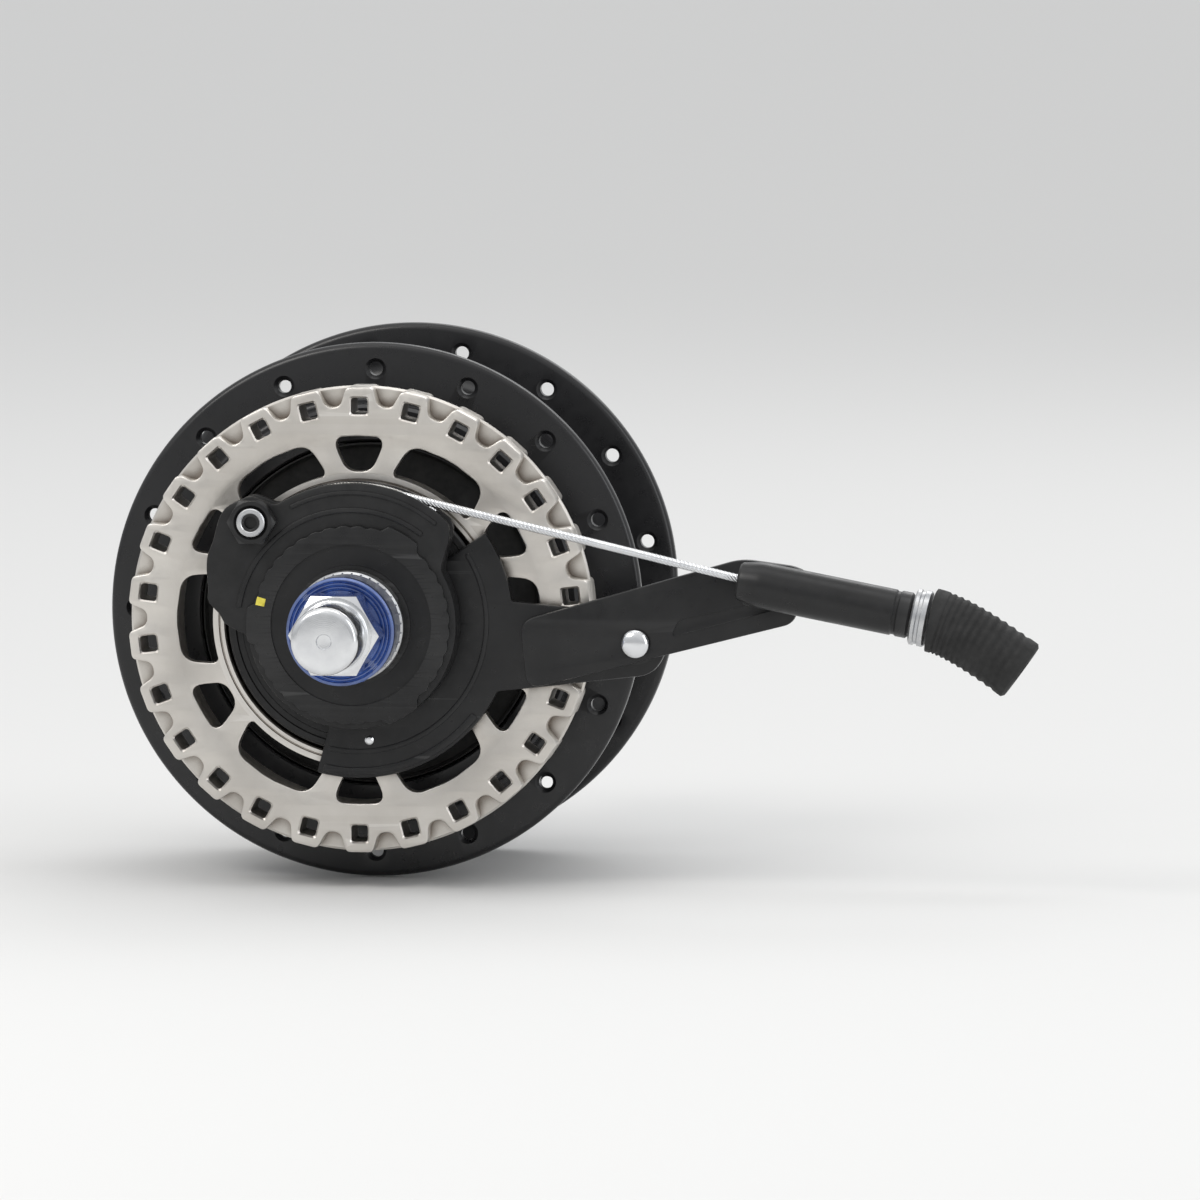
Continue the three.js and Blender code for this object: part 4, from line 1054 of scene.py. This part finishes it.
def joint_bracket():
    """Sheet-metal bracket: a round plate with a wide sector and a long ear, stiffened by raised bands."""
    outline = arc(BRACKET_SMALL, 35, 255, 110)
    outline += arc(BRACKET_LARGE, 255, 334, 40)
    outline += [(57, -9.6), (60, -4), (57.4, 1.6)]
    outline += arc(BRACKET_LARGE, 8, 35, 14)
    ear = len(outline) - 18
    corners = [(x, z, 3.0 if ear <= i < ear + 3 else 0.6) for i, (x, z) in enumerate(outline)]
    low, high = BRACKET_Y
    holes = [circle(10.1, 96), circle(1.8, 32, RIVET)]
    body = plate("bracket", rounded(corners, 0.6, 5), low, high, holes, 0.35)
    bands = [
        raised_band("band", 28.0, 29.4, 257, 322, low - 0.5, low + 0.5),
        raised_band("band", 24.4, 25.4, 257, 392, low - 0.2, low + 0.5),
        raised_band("band", 11.2, 13.4, 0, 357, low - 0.2, low + 0.5),
    ]
    ear_boss = lathe_at("ear_boss", [
        (1.85, low - 0.01), (4.2, low - 0.01), (4.6, low + 0.25), (4.6, low + 0.5), (1.85, low + 0.5),
    ], RIVET)
    return combine("joint_bracket", "UNION", body, *bands, ear_boss)


def bracket_arm():
    outline = [
        (33, -12.5, 3.0), (55.4, -6.7, 8.0), (84.1, 0.65, 2.0), (86.4, 10.6, 1.4), (84, 11.6, 1.4),
        (74, 12.9, 2.5), (43.3, 4, 10.0), (31.5, 0.6, 3.0),
    ]
    low, high = ARM_Y
    body = plate("arm", rounded(outline, 1.0, 6), low, high, [circle(1.8, 32, RIVET)], 0.3)
    spine = [(60.5, -2.2, 1.2), (80.5, 3.2, 1.2), (81.3, 5.4, 1.2), (62, 1.2, 1.2)]
    dent = plate("dent", rounded(spine, 1.2, 5), low - 0.6, low + 0.35, bevel=0.15)
    return combine("bracket_arm", "DIFFERENCE", body, dent)


stand_for(joint_bracket(), "joint_bracket")
stand_for(bracket_arm(), "bracket_arm")
stand_for(lathe_at("arm_rivet", [
    (0, -57.5), (1.2, -57.42), (2.0, -57.2), (2.55, -56.8), (2.75, -56.5), (2.75, -56.3), (1.5, -56.3),
    (1.5, -51.7), (2.4, -51.7), (2.5, -51.5), (2.3, -50.8), (1.6, -50.35), (0, -50.3),
], RIVET, sharp=50), "arm_rivet")
locating_pin = lathe_at("pin", [
    (0, -54.6), (0.55, -54.55), (0.85, -54.3), (0.85, -53.0), (0, -53.0),
], polar(LOCATING_PIN_RADIUS, LOCATING_PIN_ANGLE), 24)
extra(locating_pin, "locating_pin", "root", "plated_steel")


# ---------------------------------------------------------------- cable holder, ferrule and bellow

def holder_point(x):
    return Vector((x, HOLDER_Y, 9.2 + (x - 74) * HOLDER_SLOPE))


def round_section(radius_at, count=36):
    """The section of a sweep whose radius depends on the path point."""
    return lambda i: circle(radius_at(i), count)


def tube_path(start, stop, count):
    first, last = holder_point(start), holder_point(stop)
    return [first.lerp(last, i / (count - 1)) for i in range(count)]


def casing_holder():
    """A turned tube with a tapered nose and a collar, on a foot that is welded to the arm."""
    stations = [
        (74.0, 1.2), (74.4, 0.8), (77.5, 0.1), (78.5, 0.0), (103.6, 0.0), (103.9, 0.25),
        (104.4, 0.25), (104.7, 0.0), (106.6, 0.0), (107.0, 0.4),
    ]
    path = [holder_point(x) for x, _ in stations]
    tube = sweep("tube", path, round_section(lambda i: HOLDER_RADIUS - stations[i][1]), sharp=24)
    foot_outline = [(74.4, 4.2, 0.8), (85.4, 2.6, 0.8), (86.3, 9.6, 0.8), (75.2, 11.6, 0.8)]
    foot = plate("foot", rounded(foot_outline, 0.8), -58.4, -56.3, bevel=0.3)
    bore = sweep("bore", tube_path(70, 111, 2), round_section(lambda i: 1.4, 24))
    return combine("casing_holder", "DIFFERENCE", combine("holder", "UNION", tube, foot), bore, sharp=24)


def casing_ferrule():
    stations = [
        (107.3, 0.4), (107.6, 0.0), (108.2, 0.0), (108.4, 0.3),
        (108.9, 0.3), (109.1, 0.0), (110.0, 0.0), (110.3, 0.3),
    ]
    path = [holder_point(x) for x, _ in stations]
    body = sweep("ferrule", path, round_section(lambda i: FERRULE_RADIUS - stations[i][1]), sharp=24)
    bore = sweep("bore", tube_path(100, 114, 2), round_section(lambda i: 1.4, 24))
    return combine("casing_ferrule", "DIFFERENCE", body, bore, sharp=24)


def curve_point(t):
    """The bellow's middle line: straight on from the holder, then down."""
    first, middle, last = holder_point(110.7), holder_point(116), Vector((128, HOLDER_Y, -7.6))
    return first * (1 - t) ** 2 + middle * (2 * t * (1 - t)) + last * t ** 2


def cable_bellow():
    """Ribbed rubber: a plain cuff at each end and round folds between them, open at the lower end."""
    count = 120

    def radius_at(i):
        t = i / count
        fade = min(1.0, max(0.0, (t - 0.14) / 0.04), max(0.0, (0.93 - t) / 0.04))
        fold = 0.5 - 0.5 * math.cos(2 * math.pi * BELLOW_FOLDS * (t - 0.14) / 0.79)
        edge = min(1.0, i / 2, (count - i) / 2)
        return BELLOW_RADIUS - BELLOW_FOLD_DEPTH * fold * fade - 0.6 * (1 - edge)

    path = [curve_point(i / count) for i in range(count + 1)]
    body = sweep("bellow", path, round_section(radius_at, 48), sharp=50)
    mouth_path = [Vector((122.1, HOLDER_Y, -2.9)), Vector((130.9, HOLDER_Y, -9.8))]
    mouth = sweep("mouth", mouth_path, round_section(lambda i: 2.6, 32))
    return combine("cable_bellow", "DIFFERENCE", body, mouth, sharp=50)


stand_for(casing_holder(), "casing_holder")
stand_for(casing_ferrule(), "casing_ferrule")
stand_for(cable_bellow(), "cable_bellow")


# ---------------------------------------------------------------- cassette joint: pulley, clamp and cable

def keyed_radius(angle, keys):
    """A radius read off between the two nearest keys, easing in and out of each."""
    for (a0, r0), (a1, r1) in zip(keys, keys[1:]):
        if a0 <= angle <= a1:
            t = (angle - a0) / (a1 - a0)
            return r0 + (r1 - r0) * t * t * (3 - 2 * t)
    return keys[-1][1]


def keyed_outline(keys):
    return [polar(keyed_radius(a, keys), a) for a in range(-160, 200, 2)]


CLAMP_PLACE = polar(CLAMP_RADIUS, CLAMP_ANGLE)


def shift_pulley():
    """Two flanges with the cable groove between them, a stepped outer face, and the clamp's hook."""
    low, high = PULLEY_Y
    groove_low, groove_high = GROOVE_Y
    bore = [circle(SLEEVE_OUTER + GAP, 72)]
    inner_flange = plate("flange", keyed_outline(FLANGE_KEYS), groove_high, high, bore, 0.3)
    drum = plate("drum", keyed_outline(GROOVE_KEYS), groove_low - 0.4, groove_high + 0.4, bore, 0.05)
    outer_flange = plate("flange", keyed_outline(FLANGE_KEYS), low, groove_low, bore, 0.3)
    ribs = [
        raised_band("rib", 21.4, 22.4, 52, 172, low - 0.35, low + 0.5),
        raised_band("rib", 24.8, 25.6, 50, 118, low - 0.35, low + 0.5),
    ]
    hole = lathe_at("hole", [(0, -66), (2.8, -66), (2.8, -50), (0, -50)], CLAMP_PLACE, 36)
    body = combine("pulley", "UNION", drum, inner_flange, outer_flange, *ribs)
    return combine("shift_pulley", "DIFFERENCE", body, hole)


stand_for(shift_pulley(), "shift_pulley")
stand_for(lathe_at("bolt", [
    (0, -64.0), (1.2, -64.0), (1.2, -64.9), (1.5, -65.0), (2.3, -65.0), (2.5, -64.8),
    (2.5, -54.0), (3.4, -54.0), (3.6, -53.8), (3.4, -53.2), (2.6, -53.0), (0, -53.0),
], CLAMP_PLACE, sharp=24), "cable_clamp_bolt")


def clamp_nut():
    """A chamfered hexagon nut."""
    hexagon = plate("hexagon", circle(4.7, 6, CLAMP_PLACE), -64.6, -61.5, bevel=0.12)
    blank = lathe_at("blank", [
        (0, -65), (4.0, -65), (4.0, -64.6), (4.75, -64.1), (4.75, -61.9), (4.2, -61.5), (4.2, -61), (0, -61),
    ], CLAMP_PLACE)
    hole_profile = [(0, -66), (3.3, -66), (3.3, -64.6), (2.8, -64.1), (2.8, -60), (0, -60)]
    hole = lathe_at("hole", hole_profile, CLAMP_PLACE)
    return combine("clamp_nut", "DIFFERENCE", combine("hex", "INTERSECT", hexagon, blank), hole, sharp=24)


stand_for(clamp_nut(), "cable_clamp_nut")
clamp_ring = lathe_at("ring", [
    (1.7, -64.95), (1.9, -65.12), (2.5, -65.12), (2.7, -64.95), (2.55, -64.75), (1.7, -64.85),
], CLAMP_PLACE)
extra(clamp_ring, "clamp_bolt_ring", "selector", "zinc_steel")


def strand_section(i, turns_per_point=0.055, strands=6, count=36):
    """A stranded cable's section: six round strands, turned a little further at each path point."""
    points = []
    for k in range(count):
        degrees = 360 * k / count
        lobe = abs(math.cos(math.radians(degrees * strands / 2)))
        radius = CABLE_RADIUS * (0.84 + 0.16 * lobe ** 0.6)
        points.append(polar(radius, degrees + 360 * turns_per_point * i))
    return points


wrap_path = [(x, WRAP_Y, z) for x, z in arc(CABLE_CENTRE, 54, 126, 150)]
stand_for(sweep("wrap", wrap_path, strand_section, sharp=60), "cable_wrap")


def cable_run_path():
    """Leaves the wound end along the drum, moves over to its own plane, and goes straight to the holder."""
    path = []
    for i in range(LEAD_STEPS):
        t = i / LEAD_STEPS
        x, z = polar(CABLE_CENTRE, LEAD_START + (CABLE_TANGENT - LEAD_START) * t)
        path.append(Vector((x, WRAP_Y + (RUN_Y - WRAP_Y) * t * t * (3 - 2 * t), z)))
    tangent_x, tangent_z = polar(CABLE_CENTRE, CABLE_TANGENT)
    start = Vector((tangent_x, RUN_Y, tangent_z))
    return path + [start.lerp(holder_point(82), i / 300) for i in range(301)]


def cable_run_section(i):
    """The strand section, thinner at first so that it starts inside the wound end."""
    size = min(1.0, 0.75 + 0.25 * i / 12)
    return [(u * size, v * size) for u, v in strand_section(i)]


stand_for(sweep("run", cable_run_path(), cable_run_section, sharp=60), "inner_cable")


def fixing_ring():
    """The ring that holds the joint on: three finger tabs, and small notches round the rim."""
    low, high = FIXING_Y
    outline = []
    for i in range(120):
        degrees = 3 * i
        from_tab = abs(degrees % 120 - 60)
        radius = 20.2 if from_tab < 9.5 else 19.0
        if from_tab >= 15 and i % 3 == 0:
            radius -= 0.35
        outline.append(polar(radius, degrees))
    body = plate("fixing_ring", rounded(outline, 0.25), low, high, [circle(BORE, 72)], 0.2)
    recess = lathe("recess", [(11.4, low - 1), (15.4, low - 1), (15.4, low + 0.4), (11.4, low + 0.4)], 120)
    return combine("fixing_ring", "DIFFERENCE", body, recess)


stand_for(fixing_ring(), "joint_fixing_ring")
mark = raised_band("mark", 17.0, 18.7, 163.5, 168.5, FIXING_Y[0] - 0.06, FIXING_Y[0] + 0.2, 0.03)
extra(mark, "setting_mark", "root", "black_steel", MARKING_PAINT)


# ---------------------------------------------------------------- carried-over gears, bearings and sleeve

replaced = {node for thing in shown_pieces() for node in thing.get("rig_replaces", [])}
for node, thing in frame["nodes"].items():
    if node in replaced:
        continue
    thing.data.materials.clear()
    thing.data.materials.append(MATERIALS[NODE_SLOT[node]])
    bevel = thing.modifiers.new("edges", "BEVEL")
    bevel.width = 0.12 * MM
    bevel.segments = 2
    bevel.limit_method = "ANGLE"
    bevel.angle_limit = math.radians(40)
